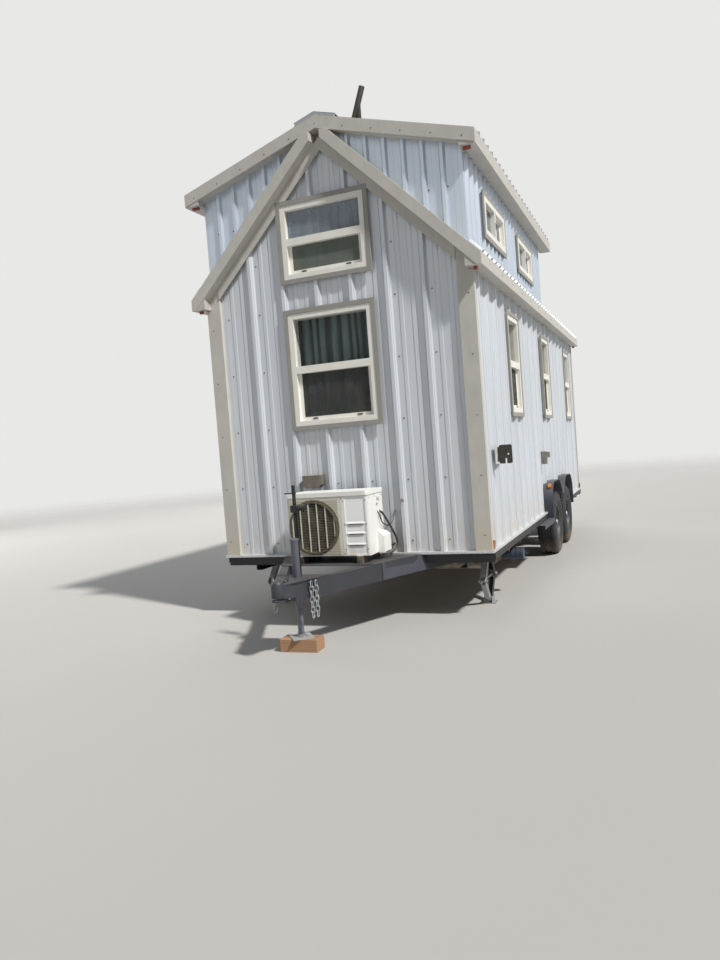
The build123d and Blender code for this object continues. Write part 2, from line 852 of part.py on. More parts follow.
def dormer_roofing():
    y0 = FRONT_Y - DORMER_FRONT_OVERHANG
    y1 = DORMER_BACK_Y + DORMER_REAR_OVERHANG
    line = ribbed_line(y0, y1, NARROW_PITCH, y_at(NARROW_PITCH / 2), ROOFING_RIB)
    reach = roofing_length(RUN_GAP, DORMER_EAVE_X, DORMER_PITCH)
    return [sloped_sheet(line, (RUN_GAP, dormer_top(RUN_GAP)), DORMER_PITCH, reach)]


def roofing():
    right = main_roofing() + dormer_roofing()
    return right + [mirrored(sheet) for sheet in right]


def ridge_cap(top, y0, y1):
    """Bent strip over a ridge, resting on the tops of the roofing ribs."""
    lift = (SHEET + ROOFING_RIB[2]) * hypot(1, (top(0) - top(1)))
    edge = top(RIDGE_CAP) + lift
    under = [(-RIDGE_CAP, edge), (0, top(0) + lift), (RIDGE_CAP, edge)]
    over = [(x, z + TRIM_METAL) for x, z in under[::-1]]
    return along_y(under + over, y0, y1)


def ridge_caps():
    step = DORMER_BACK_Y + DORMER_REAR_OVERHANG + FASCIA
    return [
        ridge_cap(dormer_top, FRONT_Y - DORMER_FRONT_OVERHANG - FASCIA, step),
        ridge_cap(main_top, step + ROOFING_RIB[2], BACK_Y + GABLE_OVERHANG + FASCIA),
    ]


def cap_top(x):
    """Height of the dormer's ridge cap."""
    lift = (SHEET + ROOFING_RIB[2]) * hypot(1, DORMER_SLOPE)
    return dormer_top(x) + lift + TRIM_METAL


# Trim


def corner_trim(front):
    """Folded corner cover on the right: wide face to the front or rear, narrow side return."""
    out = PROUD + GAP
    x1 = HALF + out + TRIM_METAL
    y_face = FRONT_Y - out - TRIM_METAL
    z1 = z_h(EAVE_BOTTOM_H) - FASCIA
    inner_x = x1 - CORNER_FACE
    outline = [
        (inner_x, z_h(0)),
        (x1, z_h(0)),
        (x1, z1),
        (STUD_X, z1),
        (STUD_X, main_under(STUD_X)),
        (inner_x, main_under(inner_x)),
    ]
    face = along_y(outline, y_face, y_face + TRIM_METAL)
    lip = block(
        inner_x,
        inner_x + TRIM_METAL,
        y_face,
        FRONT_Y - GAP,
        z_h(0),
        main_under(inner_x + TRIM_METAL),
    )
    side = block(x1 - TRIM_METAL, x1, y_face, y_face + CORNER_RETURN, z_h(0), z1)
    side_lip = block(
        HALF + GAP,
        x1,
        y_face + CORNER_RETURN - TRIM_METAL,
        y_face + CORNER_RETURN,
        z_h(0),
        z1,
    )
    trim = face + lip + side + side_lip
    if not front:
        trim = mirror(trim, about=Plane.XZ.offset(-(FRONT_Y + BACK_Y) / 2))
    return trim


def corner_trims():
    return both_sides(corner_trim(True)) + both_sides(corner_trim(False))


def base_flashing():
    """Angle round the foot of the siding, open at the fenders."""
    x1 = HALF + FLASHING_REACH
    y0 = FRONT_Y - FLASHING_REACH
    y1 = BACK_Y + FLASHING_REACH
    ring = block(-x1, x1, y0, y1, z_h(-FLASHING), z_h(-GAP))
    ring -= block(-STUD_X, STUD_X, FRONT_Y + SHEET, BACK_Y - SHEET, z_h(-FLASHING), z_h(0))
    path = fender_path(GAP)
    cut = block(STUD_X, x1, path[0][0], path[-1][0], z_h(-FLASHING), z_h(0))
    return ring - cut - mirrored(cut)


def frieze(y0, y1):
    """Boards on the siding under both rakes of a gable."""
    inner_x = HALF + PROUD + GAP + TRIM_METAL - CORNER_FACE - GAP
    drop = FRIEZE / cos(radians(MAIN_PITCH))
    outline = [
        (0, main_under(0)),
        (inner_x, main_under(inner_x)),
        (inner_x, main_under(inner_x) - drop),
        (0, main_under(0) - drop),
    ]
    right = along_y(outline, y0, y1)
    board = right + mirrored(right)
    for x, sill, size in front_openings():
        board -= end_hole(x, sill, size, y0, y1, CASING + GAP)
    return board


def friezes():
    out = FRONT_Y - PROUD
    back = BACK_Y + PROUD
    return [frieze(out - BOARD, out), frieze(back, back + BOARD)]


# Windows


def hung_window(size):
    """Single-hung window standing in the XZ plane, its outer face at y 0.

    Returns the vinyl frame with both sashes, and its two panes.
    """
    wide, high = size
    half = high / 2
    inside = wide / 2 - FRAME_FACE
    sash = inside - SASH_FACE
    frame = block(-wide / 2, wide / 2, 0, FRAME_DEPTH, 0, high)
    upper = (-inside, inside, half + SASH_FACE, high - FRAME_FACE)
    lower = (-sash, sash, FRAME_FACE + SASH_FACE, half - SASH_FACE)
    step = SASH_STEP
    frame -= block(-inside, inside, 0, step, FRAME_FACE, half - SASH_FACE)
    panes = []
    for x0, x1, z0, z1 in (upper, lower):
        frame -= block(x0, x1, 0, FRAME_DEPTH, z0, z1)
        panes.append(block(x0, x1, step + PANE, step + 2 * PANE, z0, z1))
    return frame, panes


def slider_window(size):
    """Horizontal slider in the same place: one fixed pane and one sliding sash."""
    wide, high = size
    inside = wide / 2 - FRAME_FACE
    frame = block(-wide / 2, wide / 2, 0, FRAME_DEPTH, 0, high)
    step = SASH_STEP
    fixed = (-inside, -SASH_FACE / 2, FRAME_FACE, high - FRAME_FACE)
    edge = FRAME_FACE + SASH_FACE
    slider = (SASH_FACE / 2, inside - SASH_FACE, edge, high - edge)
    frame -= block(SASH_FACE / 2, inside, 0, step, FRAME_FACE, high - FRAME_FACE)
    panes = []
    for x0, x1, z0, z1 in (fixed, slider):
        frame -= block(x0, x1, 0, FRAME_DEPTH, z0, z1)
        panes.append(block(x0, x1, step + PANE, step + 2 * PANE, z0, z1))
    return frame, panes


def casing(size):
    """Flat trim round a window, its back on the tops of the siding ribs."""
    wide, high = size
    ring = block(-wide / 2 - CASING, wide / 2 + CASING, -CASING_DEPTH, 0, -CASING, high + CASING)
    return ring - block(-wide / 2, wide / 2, -CASING_DEPTH, 0, 0, high)


def curtain(size):
    """Plain panel behind a window's glass."""
    wide, high = size
    return block(-wide / 2, wide / 2, 0, CURTAIN, 0, high)


def window_places():
    """(location, size, kind) of every window, its outer side facing local -Y."""
    places = []
    for x, sill, size in front_openings():
        places.append((Pos(x, FRONT_Y, z_h(sill)), size, "end"))
        places.append((Pos(x, BACK_Y, z_h(sill)) * Rot(0, 0, 180), size, "end"))
    for side in (1, -1):
        for at, sill, size in side_openings(side):
            kind = "slider" if sill == DORMER_SILL_H else "side"
            turn = Rot(0, 0, 90 * side)
            places.append((Pos(side * HALF, y_at(at), z_h(sill)) * turn, size, kind))
    return places


def window_set():
    """Frames, panes, casings and curtains of all windows."""
    frames, panes, casings, curtains = [], [], [], []
    for place, size, kind in window_places():
        make = slider_window if kind == "slider" else hung_window
        frame, glass = make(size)
        out = place * Pos(0, -FRAME_PROUD, 0)
        frames.append(out * frame)
        panes.extend(out * pane for pane in glass)
        rib = NARROW_RIB[2] if kind == "slider" else PROUD
        casings.append(place * Pos(0, -rib, 0) * casing(size))
        behind = SHEET + WALL + GAP
        if kind != "slider":
            curtains.append(place * Pos(0, behind, 0) * curtain(size))
    return frames, panes, casings, curtains


# Entrance door


def entry_door():
    """Closed leaf with its sill, filling the doorway of the left wall."""
    wide, high = DOOR
    y = y_at(DOOR_AT)
    z0 = z_h(FLOOR)
    inner = -STUD_X + WALL
    outer = -HALF - PROUD
    frame = block(outer, inner, y - wide / 2, y + wide / 2, z0, z0 + high)
    frame -= block(
        outer, inner, y - wide / 2 + DOOR_FRAME, y + wide / 2 - DOOR_FRAME, z0, z0 + high - DOOR_FRAME
    )
    leaf_x = -HALF
    leaf = block(
        leaf_x,
        leaf_x + DOOR_LEAF,
        y - wide / 2 + DOOR_FRAME,
        y + wide / 2 - DOOR_FRAME,
        z0,
        z0 + high - DOOR_FRAME,
    )
    return frame + leaf


# Trailer


def box_tube(start, end, wide, z0, z1):
    """Straight rail between two (x, y) points, with square ends."""
    (x0, y0), (x1, y1) = start, end
    length = hypot(x1 - x0, y1 - y0)
    nx, ny = -(y1 - y0) / length * wide / 2, (x1 - x0) / length * wide / 2
    points = [(x0 + nx, y0 + ny), (x1 + nx, y1 + ny), (x1 - nx, y1 - ny), (x0 - nx, y0 - ny)]
    return along_z(points, z0, z1)


def channel(x0, x1, y0, y1, z0, z1, sheet):
    """Channel along Y, its web on the right."""
    return block(x0, x1, y0, y1, z0, z1) - block(x0, x1 - sheet, y0, y1, z0 + sheet, z1 - sheet)


def main_rails():
    """Two long channels under the floor."""
    z1 = z_h(RAIL_TOP_H)
    y0 = FRONT_Y + SHEET + CROSS_WIDE
    y1 = BACK_Y - SHEET - CROSS_WIDE
    x1 = RAIL_X + RAIL_WIDE
    return both_sides(channel(RAIL_X, x1, y0, y1, z1 - RAIL_DEEP, z1, RAIL_SHEET))


def cross_places():
    """Front edge of every cross member between the end members."""
    first = FRONT_Y + SHEET + CROSS_WIDE
    last = BACK_Y - SHEET - CROSS_WIDE
    step = (last - first) / (CROSS_COUNT + 1)
    return [first + step * (i + 1) - CROSS_WIDE / 2 for i in range(CROSS_COUNT)]


def cross_members():
    """Joists between the rails, outriggers to the rub rail, and the two end members."""
    z1 = z_h(RAIL_TOP_H)
    z0 = z1 - CROSS_DEEP
    path = fender_path(GAP)
    out_x = RUB_RAIL_X - RUB_SHEET
    bars = []
    for y in cross_places():
        bars.append(block(-RAIL_X, RAIL_X, y, y + CROSS_WIDE, z0, z1))
        if y + CROSS_WIDE < path[0][0] or y > path[-1][0]:
            bars.extend(both_sides(block(RAIL_X + RAIL_WIDE, out_x, y, y + CROSS_WIDE, z0, z1)))
    for y0 in (FRONT_Y + SHEET, BACK_Y - SHEET - CROSS_WIDE):
        bars.append(block(-out_x, out_x, y0, y0 + CROSS_WIDE, z0, z1))
    return bars


def rub_rails():
    """Angle along each side under the flashing, broken at the wheels."""
    z1 = z_h(RAIL_TOP_H)
    x0, x1 = RUB_RAIL_X - RUB_RAIL, RUB_RAIL_X
    path = fender_path(GAP)
    spans = [(FRONT_Y, path[0][0]), (path[-1][0], BACK_Y)]
    rails = []
    for y0, y1 in spans:
        rail = block(x1 - RUB_SHEET, x1, y0, y1, z1 - RUB_RAIL, z1)
        rail += block(x1, x1 + RUB_SHEET, y0, y1, z1 - RUB_RAIL, z1 - RUB_RAIL + RUB_SHEET)
        rails.extend(both_sides(rail))
    return rails


def tongue_rails():
    """The two rails of the A-frame, from the coupler back to the main rails."""
    z1 = z_h(RAIL_TOP_H)
    y0 = y_at(-TONGUE_REACH) + COUPLER_LENGTH
    slope = tan(radians(TONGUE_ANGLE))
    back_x = RAIL_X + RAIL_WIDE
    y1 = y0 + (back_x - TONGUE_FRONT_X) / slope
    ends = ((TONGUE_FRONT_X, y0), (back_x, y1))
    z0 = z1 - RAIL_DEEP - GAP
    rail = box_tube(*ends, RAIL_WIDE, z0, z1 - CROSS_DEEP - GAP)
    upper = box_tube(*ends, RAIL_WIDE, z0, z1)
    upper &= block(0, back_x, y0 - RAIL_WIDE, FRONT_Y + SHEET - GAP, 0, z1)
    rail = (rail + upper) & block(0, RAIL_X - GAP, y0 - RAIL_WIDE, y1, 0, z1)
    left = mirrored(rail)
    for peg in chain_pegs(1):
        rail += peg
    for peg in chain_pegs(-1):
        left += mirrored(peg)
    return [rail, left]


def tongue_deck():
    """Plate on top of the tongue, under the outdoor unit."""
    z0 = z_h(RAIL_TOP_H)
    y0, y1 = y_at(AC_FRONT_AT) - DECK_FRONT, FRONT_Y - FLASHING_REACH - GAP
    inset = RAIL_WIDE / 2 * (1 / cos(radians(TONGUE_ANGLE)) - 1)
    x0, x1 = rail_outer_x(y0) - inset, rail_outer_x(y1) - inset
    return wedge(x0, y0, x1, y1, z0, z0 + DECK_PLATE)


def wedge(x0, y0, x1, y1, z0, z1):
    """Plate that widens from half width x0 at y0 to half width x1 at y1."""
    return along_z([(-x0, y0), (x0, y0), (x1, y1), (-x1, y1)], z0, z1)


def coupler():
    """Ball coupler: socket housing and tapered neck under a wedge plate, with the jack's hole."""
    z1 = z_h(RAIL_TOP_H)
    nose = y_at(-TONGUE_REACH)
    housing_r = SOCKET_R + SOCKET_WALL
    ball_y = nose + housing_r
    angle = radians(TONGUE_ANGLE)
    back = nose + COUPLER_LENGTH + COUPLER_LAP
    wide = rail_outer_x(back)
    z0 = z1 - SOCKET_DEEP
    plate = wedge(housing_r, ball_y, wide, back, z1, z1 + COUPLER_PLATE)
    housing = Pos(0, ball_y, (z0 + z1 + COUPLER_PLATE) / 2) * Cylinder(housing_r, z1 + COUPLER_PLATE - z0)
    neck_y = nose + COUPLER_LENGTH - RAIL_WIDE / 2 * sin(angle) - GAP
    neck_x = rail_outer_x(neck_y)
    neck = wedge(housing_r, ball_y, neck_x, neck_y, z0 - NOSE_DROP, z1)
    low = z0 - 2 * NOSE_DROP
    slope = [(nose, z0), (neck_y, z0 - NOSE_DROP), (neck_y, low), (nose, low)]
    body = plate + housing + neck - along_x(slope, -wide, wide)
    body -= Pos(0, ball_y, z0 - NOSE_DROP / 2) * Cylinder(housing_r + GAP, NOSE_DROP)
    body -= Pos(0, ball_y, z0 + SOCKET_STRAIGHT / 2) * Cylinder(SOCKET_R, SOCKET_STRAIGHT)
    body -= Pos(0, ball_y, z0 + SOCKET_STRAIGHT) * Sphere(SOCKET_R)
    hole = Pos(0, y_at(JACK_AT), z1) * Cylinder(JACK_TUBE_R + GAP, 4 * COUPLER_PLATE)
    return body - hole


# Wheels, axles and fenders


def turned(profile):
    """Solid of revolution from (radius, distance along the axle) points."""
    return revolve(make_face(Polyline([(u, 0, v) for u, v in profile], close=True)), Axis.Z)


def tyre_profile(r, rim, half):
    """Outer half of the tyre's section: flat tread, shoulder and bulging wall."""
    bead, bead_share = TYRE_BEAD
    shoulder, shoulder_share = TYRE_SHOULDER
    edge, edge_share = TREAD_EDGE
    return [
        (r, half * TREAD_FLAT),
        (r - edge, half * edge_share),
        (r - shoulder, half * shoulder_share),
        (rim + TYRE_BULGE, half),
        (rim + bead, half * bead_share),
    ]


def mirrored_profile(profile):
    return profile + [(u, -v) for u, v in profile[::-1]]


def rim_profile(rim, half):
    """Section of the rim and its dished disc, from the hub out and back."""
    bead, share = TYRE_BEAD
    lip = half * share
    hub_face, well_face, back_face = (half * part for part in DISC_FACE)
    back_lip, back_well = RIM_BACK
    return [
        (HUB_R, -HUB_DEEP),
        (HUB_R, hub_face),
        (rim - RIM_WELL, well_face),
        (rim - RIM_LIP, lip),
        (rim + bead, lip),
        (rim + bead, -lip),
        (rim - back_lip, -lip),
        (rim - back_well, -back_face),
        (HUB_R + HUB_FLANGE, -HUB_DEEP),
    ]


def wheel(side, at):
    """Tyre and rim as two solids, on the axle's line."""
    r = TYRE_DIAMETER / 2
    rim = RIM_DIAMETER / 2
    half = TYRE_WIDTH / 2
    x = side * WHEEL_X
    y = y_at(at)
    tyre = turned(mirrored_profile(tyre_profile(r, rim, half)))
    disc = turned(rim_profile(rim, half))
    place = Pos(x, y, r) * Rot(0, 90 * side, 0)
    return place * tyre, place * disc


def wheel_places():
    """(node, side, distance) of the four wheels."""
    places = []
    for row, at in zip(("front", "rear"), WHEELS_AT):
        for word, side in (("right", 1), ("left", -1)):
            places.append((f"{row}_{word}_wheel", side, at))
    return places


def fender():
    """Right fender: humped sheet from the wheel well out past the wall, with its inner plate."""
    path = fender_path()
    shell = fender_body(0, FENDER_IN_X, FENDER_OUT_X) - fender_body(
        -FENDER_SHEET, FENDER_IN_X + FENDER_SHEET, FENDER_OUT_X, FENDER_FOOT_H - FENDER_SHEET
    )
    front = path[0][0]
    foot = path[0][1]
    step = block(
        RUB_RAIL_X + RUB_SHEET + GAP,
        STEP_OUT_X,
        front - STEP_LENGTH,
        front,
        foot,
        foot + FENDER_SHEET,
    )
    lip = block(
        STEP_OUT_X - FENDER_SHEET,
        STEP_OUT_X,
        front - STEP_LENGTH,
        front,
        foot - STEP_LIP,
        foot + FENDER_SHEET,
    )
    return shell + step + lip


def axles():
    """Two torsion axles: square tube under the rails, trailing arms and stub shafts."""
    z1 = z_h(RAIL_TOP_H) - RAIL_DEEP
    pieces = []
    for at in WHEELS_AT:
        y = y_at(at) - TORSION_ARM
        arm_x = RAIL_X + RAIL_WIDE
        half = AXLE_TUBE / 2
        tube = block(-arm_x, arm_x, y - half, y + half, z1 - AXLE_TUBE, z1)
        wheel_z = TYRE_DIAMETER / 2
        tube_z = z1 - AXLE_TUBE / 2
        angle = atan2(wheel_z - tube_z, TORSION_ARM)
        dy, dz = AXLE_TUBE / 2 * sin(angle), AXLE_TUBE / 2 * cos(angle)
        arm = along_x(
            [
                (y + dy, tube_z - dz),
                (y_at(at) + dy + AXLE_TUBE / 4, wheel_z - dz),
                (y_at(at) - dy + AXLE_TUBE / 4, wheel_z + dz),
                (y - dy, tube_z + dz),
            ],
            arm_x,
            arm_x + TORSION_ARM_WIDE,
        )
        stub_x = arm_x + TORSION_ARM_WIDE
        stub = rod((stub_x, y_at(at), wheel_z), (WHEEL_X + STUB_OUT, y_at(at), wheel_z), HUB_R - STUB_GAP)
        tube += arm + stub + mirrored(arm) + mirrored(stub)
        pieces.append(tube)
    return pieces


# Tongue jack


def jack_tube():
    """Outer tube of the tongue jack, with its cap."""
    y = y_at(JACK_AT)
    z0, z1 = z_h(JACK_TUBE_BOTTOM_H), z_h(JACK_TUBE_TOP_H)
    tube = Pos(0, y, (z0 + z1) / 2) * Cylinder(JACK_TUBE_R, z1 - z0)
    bore = Pos(0, y, (z0 + z1) / 2 - JACK_TUBE_WALL) * Cylinder(JACK_TUBE_R - JACK_TUBE_WALL, z1 - z0)
    lip, high = JACK_CAP
    cap = Pos(0, y, z1) * Cylinder(JACK_TUBE_R + lip, high)
    return tube - bore + cap


def jack_leg():
    """Inner leg, its collar and the foot plate on the block."""
    y = y_at(JACK_AT)
    wide, thick = JACK_FOOT
    foot_z = BLOCK[2] + GAP
    top = z_h(JACK_TUBE_BOTTOM_H) + JACK_LEG_IN
    plate = Pos(0, y, foot_z + thick / 2) * Rot(0, 0, JACK_FOOT_TURN) * Box(wide, wide, thick)
    lip, high = JACK_COLLAR
    collar = upright(0, y, foot_z + thick, foot_z + thick + high, JACK_LEG_R + lip)
    leg = upright(0, y, foot_z, top, JACK_LEG_R)
    return plate + collar + leg - upright(0, y, top - JACK_LEG_IN, top, JACK_LEG_R - JACK_LEG_WALL)


def jack_block():
    wide, deep, high = BLOCK
    return Pos(0, y_at(JACK_AT), high / 2) * Rot(0, 0, BLOCK_TURN) * Box(wide, deep, high)


def plug_post():
    """Upright flat bar beside the jack, with its cross pin, clamp and the trailer plug on it."""
    wide, deep = POST
    y = y_at(JACK_AT) + POST_BACK
    z0, z1 = z_h(RAIL_TOP_H) + COUPLER_PLATE, z_h(POST_TOP_H)
    bar = block(-wide / 2, wide / 2, y - deep / 2, y + deep / 2, z0, z1)
    x0, x1, pin_h, pin_r = POST_PIN
    bar += rod((x0, y, z_h(pin_h)), (x1, y, z_h(pin_h)), pin_r)
    x0, x1, plug_h, plug_r = PLUG
    bar += rod((x0, y, z_h(plug_h)), (x1, y, z_h(plug_h)), plug_r)
    clamp_x, clamp_y, clamp_z = CLAMP
    z = z_h(CLAMP_H)
    bar += block(-clamp_x / 2, clamp_x / 2, y - clamp_y / 2, y + clamp_y / 2, z, z + clamp_z)
    for x in (-wide * 3 / 4, wide * 3 / 4):
        bar += upright(x, y, z0, z_h(LEAD_TOP_H), LEAD_R)
    return bar


def chain_link(middle, turn):
    """One link hanging straight down from the middle, turned about its length."""
    half_l, half_w, wire = CHAIN_LINK
    cut = half_w * LINK_CUT
    outer = [
        (-half_w, -half_l + cut),
        (-half_w + cut, -half_l),
        (half_w - cut, -half_l),
        (half_w, -half_l + cut),
        (half_w, half_l - cut),
        (half_w - cut, half_l),
        (-half_w + cut, half_l),
        (-half_w, half_l - cut),
    ]
    shrink_w = (half_w - wire) / half_w
    shrink_l = (half_l - wire) / half_l
    inner = [(x * shrink_w, z * shrink_l) for x, z in outer]
    link = along_y(outer, -wire / 2, wire / 2) - along_y(inner, -wire / 2, wire / 2)
    return Pos(*middle) * Rot(0, 0, turn) * link


def rail_outer_x(y):
    """Outer face of the tongue's right rail."""
    nose = y_at(-TONGUE_REACH) + COUPLER_LENGTH
    angle = radians(TONGUE_ANGLE)
    return TONGUE_FRONT_X + (y - nose) * tan(angle) + RAIL_WIDE / 2 / cos(angle)


def chain_runs():
    """(side, distance, count of links) of each strand of chain."""
    right = [(1, back - TONGUE_REACH, RIGHT_LINK_COUNT) for back in RIGHT_CHAINS_BACK]
    left = [(-1, back - TONGUE_REACH, LEFT_LINK_COUNT) for back in LEFT_CHAINS_BACK]
    return right + left


def chain_pegs(side):
    """Pegs on the outside of a tongue rail, one for each strand of chain."""
    pegs = []
    for run_side, at, _ in chain_runs():
        if run_side == side:
            y, z = y_at(at), z_h(CHAIN_PEG_H)
            x = rail_outer_x(y)
            end_x = x + CHAIN_OUT + 2 * CHAIN_LINK[2]
            pegs.append(rod((x - RAIL_WIDE / 2, y, z), (end_x, y, z), CHAIN_PEG_R))
    return pegs


def chain_run(x, y, count):
    """Links hanging one in the next, the first of them on its peg."""
    half_l, _, wire = CHAIN_LINK
    pitch = 2 * (half_l - wire) - 2 * GAP
    top = z_h(CHAIN_PEG_H) + CHAIN_PEG_R + GAP - (half_l - wire)
    return [chain_link((x, y, top - pitch * i), 90 + 90 * i) for i in range(count)]


def safety_chains():
    """Doubled chain on each side of the tongue."""
    links = []
    for side, at, count in chain_runs():
        y = y_at(at)
        links.extend(chain_run(side * (rail_outer_x(y) + CHAIN_OUT), y, count))
    return links


# Outdoor unit of the air conditioner


def ac_front():
    """Left, front and bottom of the outdoor unit's case."""
    return AC_LEFT_X, y_at(AC_FRONT_AT), z_h(AC_BOTTOM_H)


def ac_case():
    """Case with its lid, louvred panel, feet and valve cover, and the fan's motor in its well."""
    wide, deep, high = AC_SIZE
    x0, y0, z0 = ac_front()
    x1 = x0 + wide
    lid_high, lid_out = AC_LID
    case = block(x0, x1, y0, y0 + deep, z0, z0 + high - lid_high)
    case = fillet(case.edges().filter_by(Axis.Z), AC_CORNER_R)
    top = block(x0 - lid_out, x1 + lid_out, y0 - lid_out, y0 + deep, z0 + high - lid_high, z0 + high)
    case += fillet(top.edges().filter_by(Axis.Z), AC_CORNER_R)
    case -= Pos(FAN_X, y0 + AC_WELL / 2, z_h(FAN_H)) * Rot(90, 0, 0) * Cylinder(FAN_BORE_R, AC_WELL)
    motor_y = y0 + AC_WELL - MOTOR_LONG
    z = z_h(FAN_H)
    case += rod((FAN_X, y0 + AC_WELL, z), (FAN_X, motor_y, z), FAN_HUB_R)
    case += rod((FAN_X, motor_y, z), (FAN_X, y0 + FAN_IN - FAN_HUB_LONG / 2, z), FAN_SHAFT_R)
    return ac_feet(ac_panel(case))


def ac_panel(case):
    """Sinks the front panel beside the fan and adds its louvres."""
    wide, margin, sunk = AC_PANEL
    x0, y0, z0 = ac_front()
    x1 = x0 + AC_SIZE[0] - margin
    z1 = z0 + AC_SIZE[2] - AC_LID[0]
    case -= block(x1 - wide, x1, y0, y0 + sunk, z0 + margin / 2, z1)
    long, tall, out = AC_LOUVRE
    middle = x1 - wide / 2
    for height in AC_LOUVRES_H:
        z = z_h(height)
        lip = [(y0 + sunk, z + tall), (y0 + sunk - out, z), (y0 + sunk, z)]
        case += along_x(lip, middle - long / 2, middle + long / 2)
    return case


def ac_feet(case):
    """Adds the feet, the valve cover and the handle ledge on the right end."""
    wide, deep, _ = AC_SIZE
    x0, y0, z0 = ac_front()
    x1 = x0 + wide
    foot, out = AC_FOOT
    for x in (x0 + 2 * foot, x1 - 2 * foot):
        case += block(x - foot / 2, x + foot / 2, y0 - out, y0 + deep + out, z_h(RAIL_TOP_H) + DECK_PLATE, z0)
    cover_x, cover_y, cover_z = AC_COVER
    back = y0 + deep - AC_CORNER_R
    cover = [(x1, z0), (x1 + cover_x, z0), (x1 + cover_x, z0 + cover_z * 3 / 4), (x1, z0 + cover_z)]
    case += along_y(cover, back - cover_y, back)
    ledge_y, ledge_z, ledge_x = AC_HANDLE
    high = z0 + AC_SIZE[2] - AC_LID[0] - 2 * ledge_z
    ledge = [(x1, high - ledge_z), (x1 + ledge_x, high), (x1, high)]
    case += along_y(ledge, back - 2 * ledge_y, back - ledge_y)
    return case


def tube(points, bend, radius):
    """Round pipe along a bent line."""
    line = FilletPolyline(*points, radius=bend)
    section = Plane(origin=line @ 0, z_dir=line % 0) * Circle(radius)
    return sweep(section, path=line)


def ac_lines():
    """Insulated line pair from the valve cover and the power conduit, both back to the wall."""
    wide, deep, _ = AC_SIZE
    x0, y0, z0 = ac_front()
    x1 = x0 + wide
    cover_x, cover_y, cover_z = AC_COVER
    thick, thin = AC_LINE_R
    back = y0 + deep - AC_CORNER_R
    x = x1 + cover_x / 2
    line = rod((x, back, z0 + thick * 2), (x, FRONT_Y - MINOR_RIB[2], z0 + thick * 2), thick)
    high = z_h(AC_POWER_H)
    side_y = back - cover_y * 2 / 3
    out_x = x1 + cover_x + thin * 2
    low = z0 + cover_z * 3 / 4
    route = [(x1, side_y, high), (out_x, side_y, high), (out_x, side_y, low), (out_x, FRONT_Y, low)]
    return [line, tube(route, thin * 3, thin)]


def ac_fan():
    """Hub and swept blades on the motor's shaft."""
    y0 = y_at(AC_FRONT_AT)
    centre = Pos(FAN_X, y0 + FAN_IN, z_h(FAN_H)) * Rot(90, 0, 0)
    fan = Cylinder(FAN_HUB_R, FAN_HUB_LONG) - Cylinder(FAN_SHAFT_R + GAP, FAN_HUB_LONG)
    root = FAN_HUB_R * 6 / 7
    for i in range(FAN_BLADES):
        tip = (FAN_R * 6 / 7, FAN_R / 2)
        points = [(root, -root * 4 / 5), (FAN_R, -root / 2), tip, (root, root / 2)]
        blade = along_z(points, 0, FAN_BLADE)
        fan += Rot(0, 0, 360 / FAN_BLADES * i) * Rot(FAN_TWIST, 0, 0) * blade
    return centre * (fan & Cylinder(FAN_R, FAN_R / 2))


def ac_guard():
    """Ring and bars over the fan."""
    y0 = y_at(AC_FRONT_AT)
    place = Pos(FAN_X, y0 - GUARD_DEEP / 2, z_h(FAN_H)) * Rot(90, 0, 0)
    rim = FAN_BORE_R + GUARD_RIM
    guard = Cylinder(rim, GUARD_DEEP) - Cylinder(FAN_BORE_R, GUARD_DEEP)
    for i in range(GUARD_BARS):
        x = (i - (GUARD_BARS - 1) / 2) * GUARD_PITCH
        reach = ((FAN_BORE_R + GUARD_RIM / 2) ** 2 - x ** 2) ** 0.5
        guard += Pos(x, 0, 0) * Box(GUARD_BAR, 2 * reach, GUARD_DEEP / 2)
    return place * guard


# Small pieces on the walls


def junction_box():
    """Box on the low ribs of the front wall over the outdoor unit, its lower corners cut off."""
    x0, x1 = JUNCTION_X
    z0, z1 = (z_h(h) for h in JUNCTION_H)
    y1 = FRONT_Y - MINOR_RIB[2]
    cut = JUNCTION_CUT
    outline = [(x0, z0 + cut), (x0 + cut, z0), (x1 - cut, z0), (x1, z0 + cut), (x1, z1), (x0, z1)]
    return along_y(outline, y1 - JUNCTION_DEEP, y1)


def hinge_line():
    """Place of the lid's pin, as (x, y)."""
    return HALF + PROUD + HATCH_DEPTH + LID_GAP + LID / 2, y_at(HATCH_AT)


def upright(x, y, z0, z1, radius):
    return rod((x, y, z0), (x, y, z1), radius)


def hatch():
    """Body of the power inlet on the right wall, with the two knuckles and pin of its hinge."""
    x, y = hinge_line()
    z0, z1 = z_h(HATCH_H), z_h(HATCH_H) + HATCH[1]
    face_x = HALF + PROUD + HATCH_DEPTH
    body = block(HALF + PROUD, face_x, y - LID, y + HATCH[0] - LID, z0, z1)
    cup = Pos(face_x, y + HATCH[0] / 2 - LID / 2, (z0 + z1) / 2) * Rot(0, 90, 0)
    body -= cup * Cylinder(HATCH_CUP_R, 2 * HATCH_CUP_DEEP)
    body += upright(x, y, z0, z1, LID_PIN_R)
    for low in (z0, z1 - KNUCKLE):
        body += upright(x, y, low, low + KNUCKLE, LID / 2)
        body += block(face_x, x, y - LID / 2, y + LID / 2, low, low + KNUCKLE)
    return body


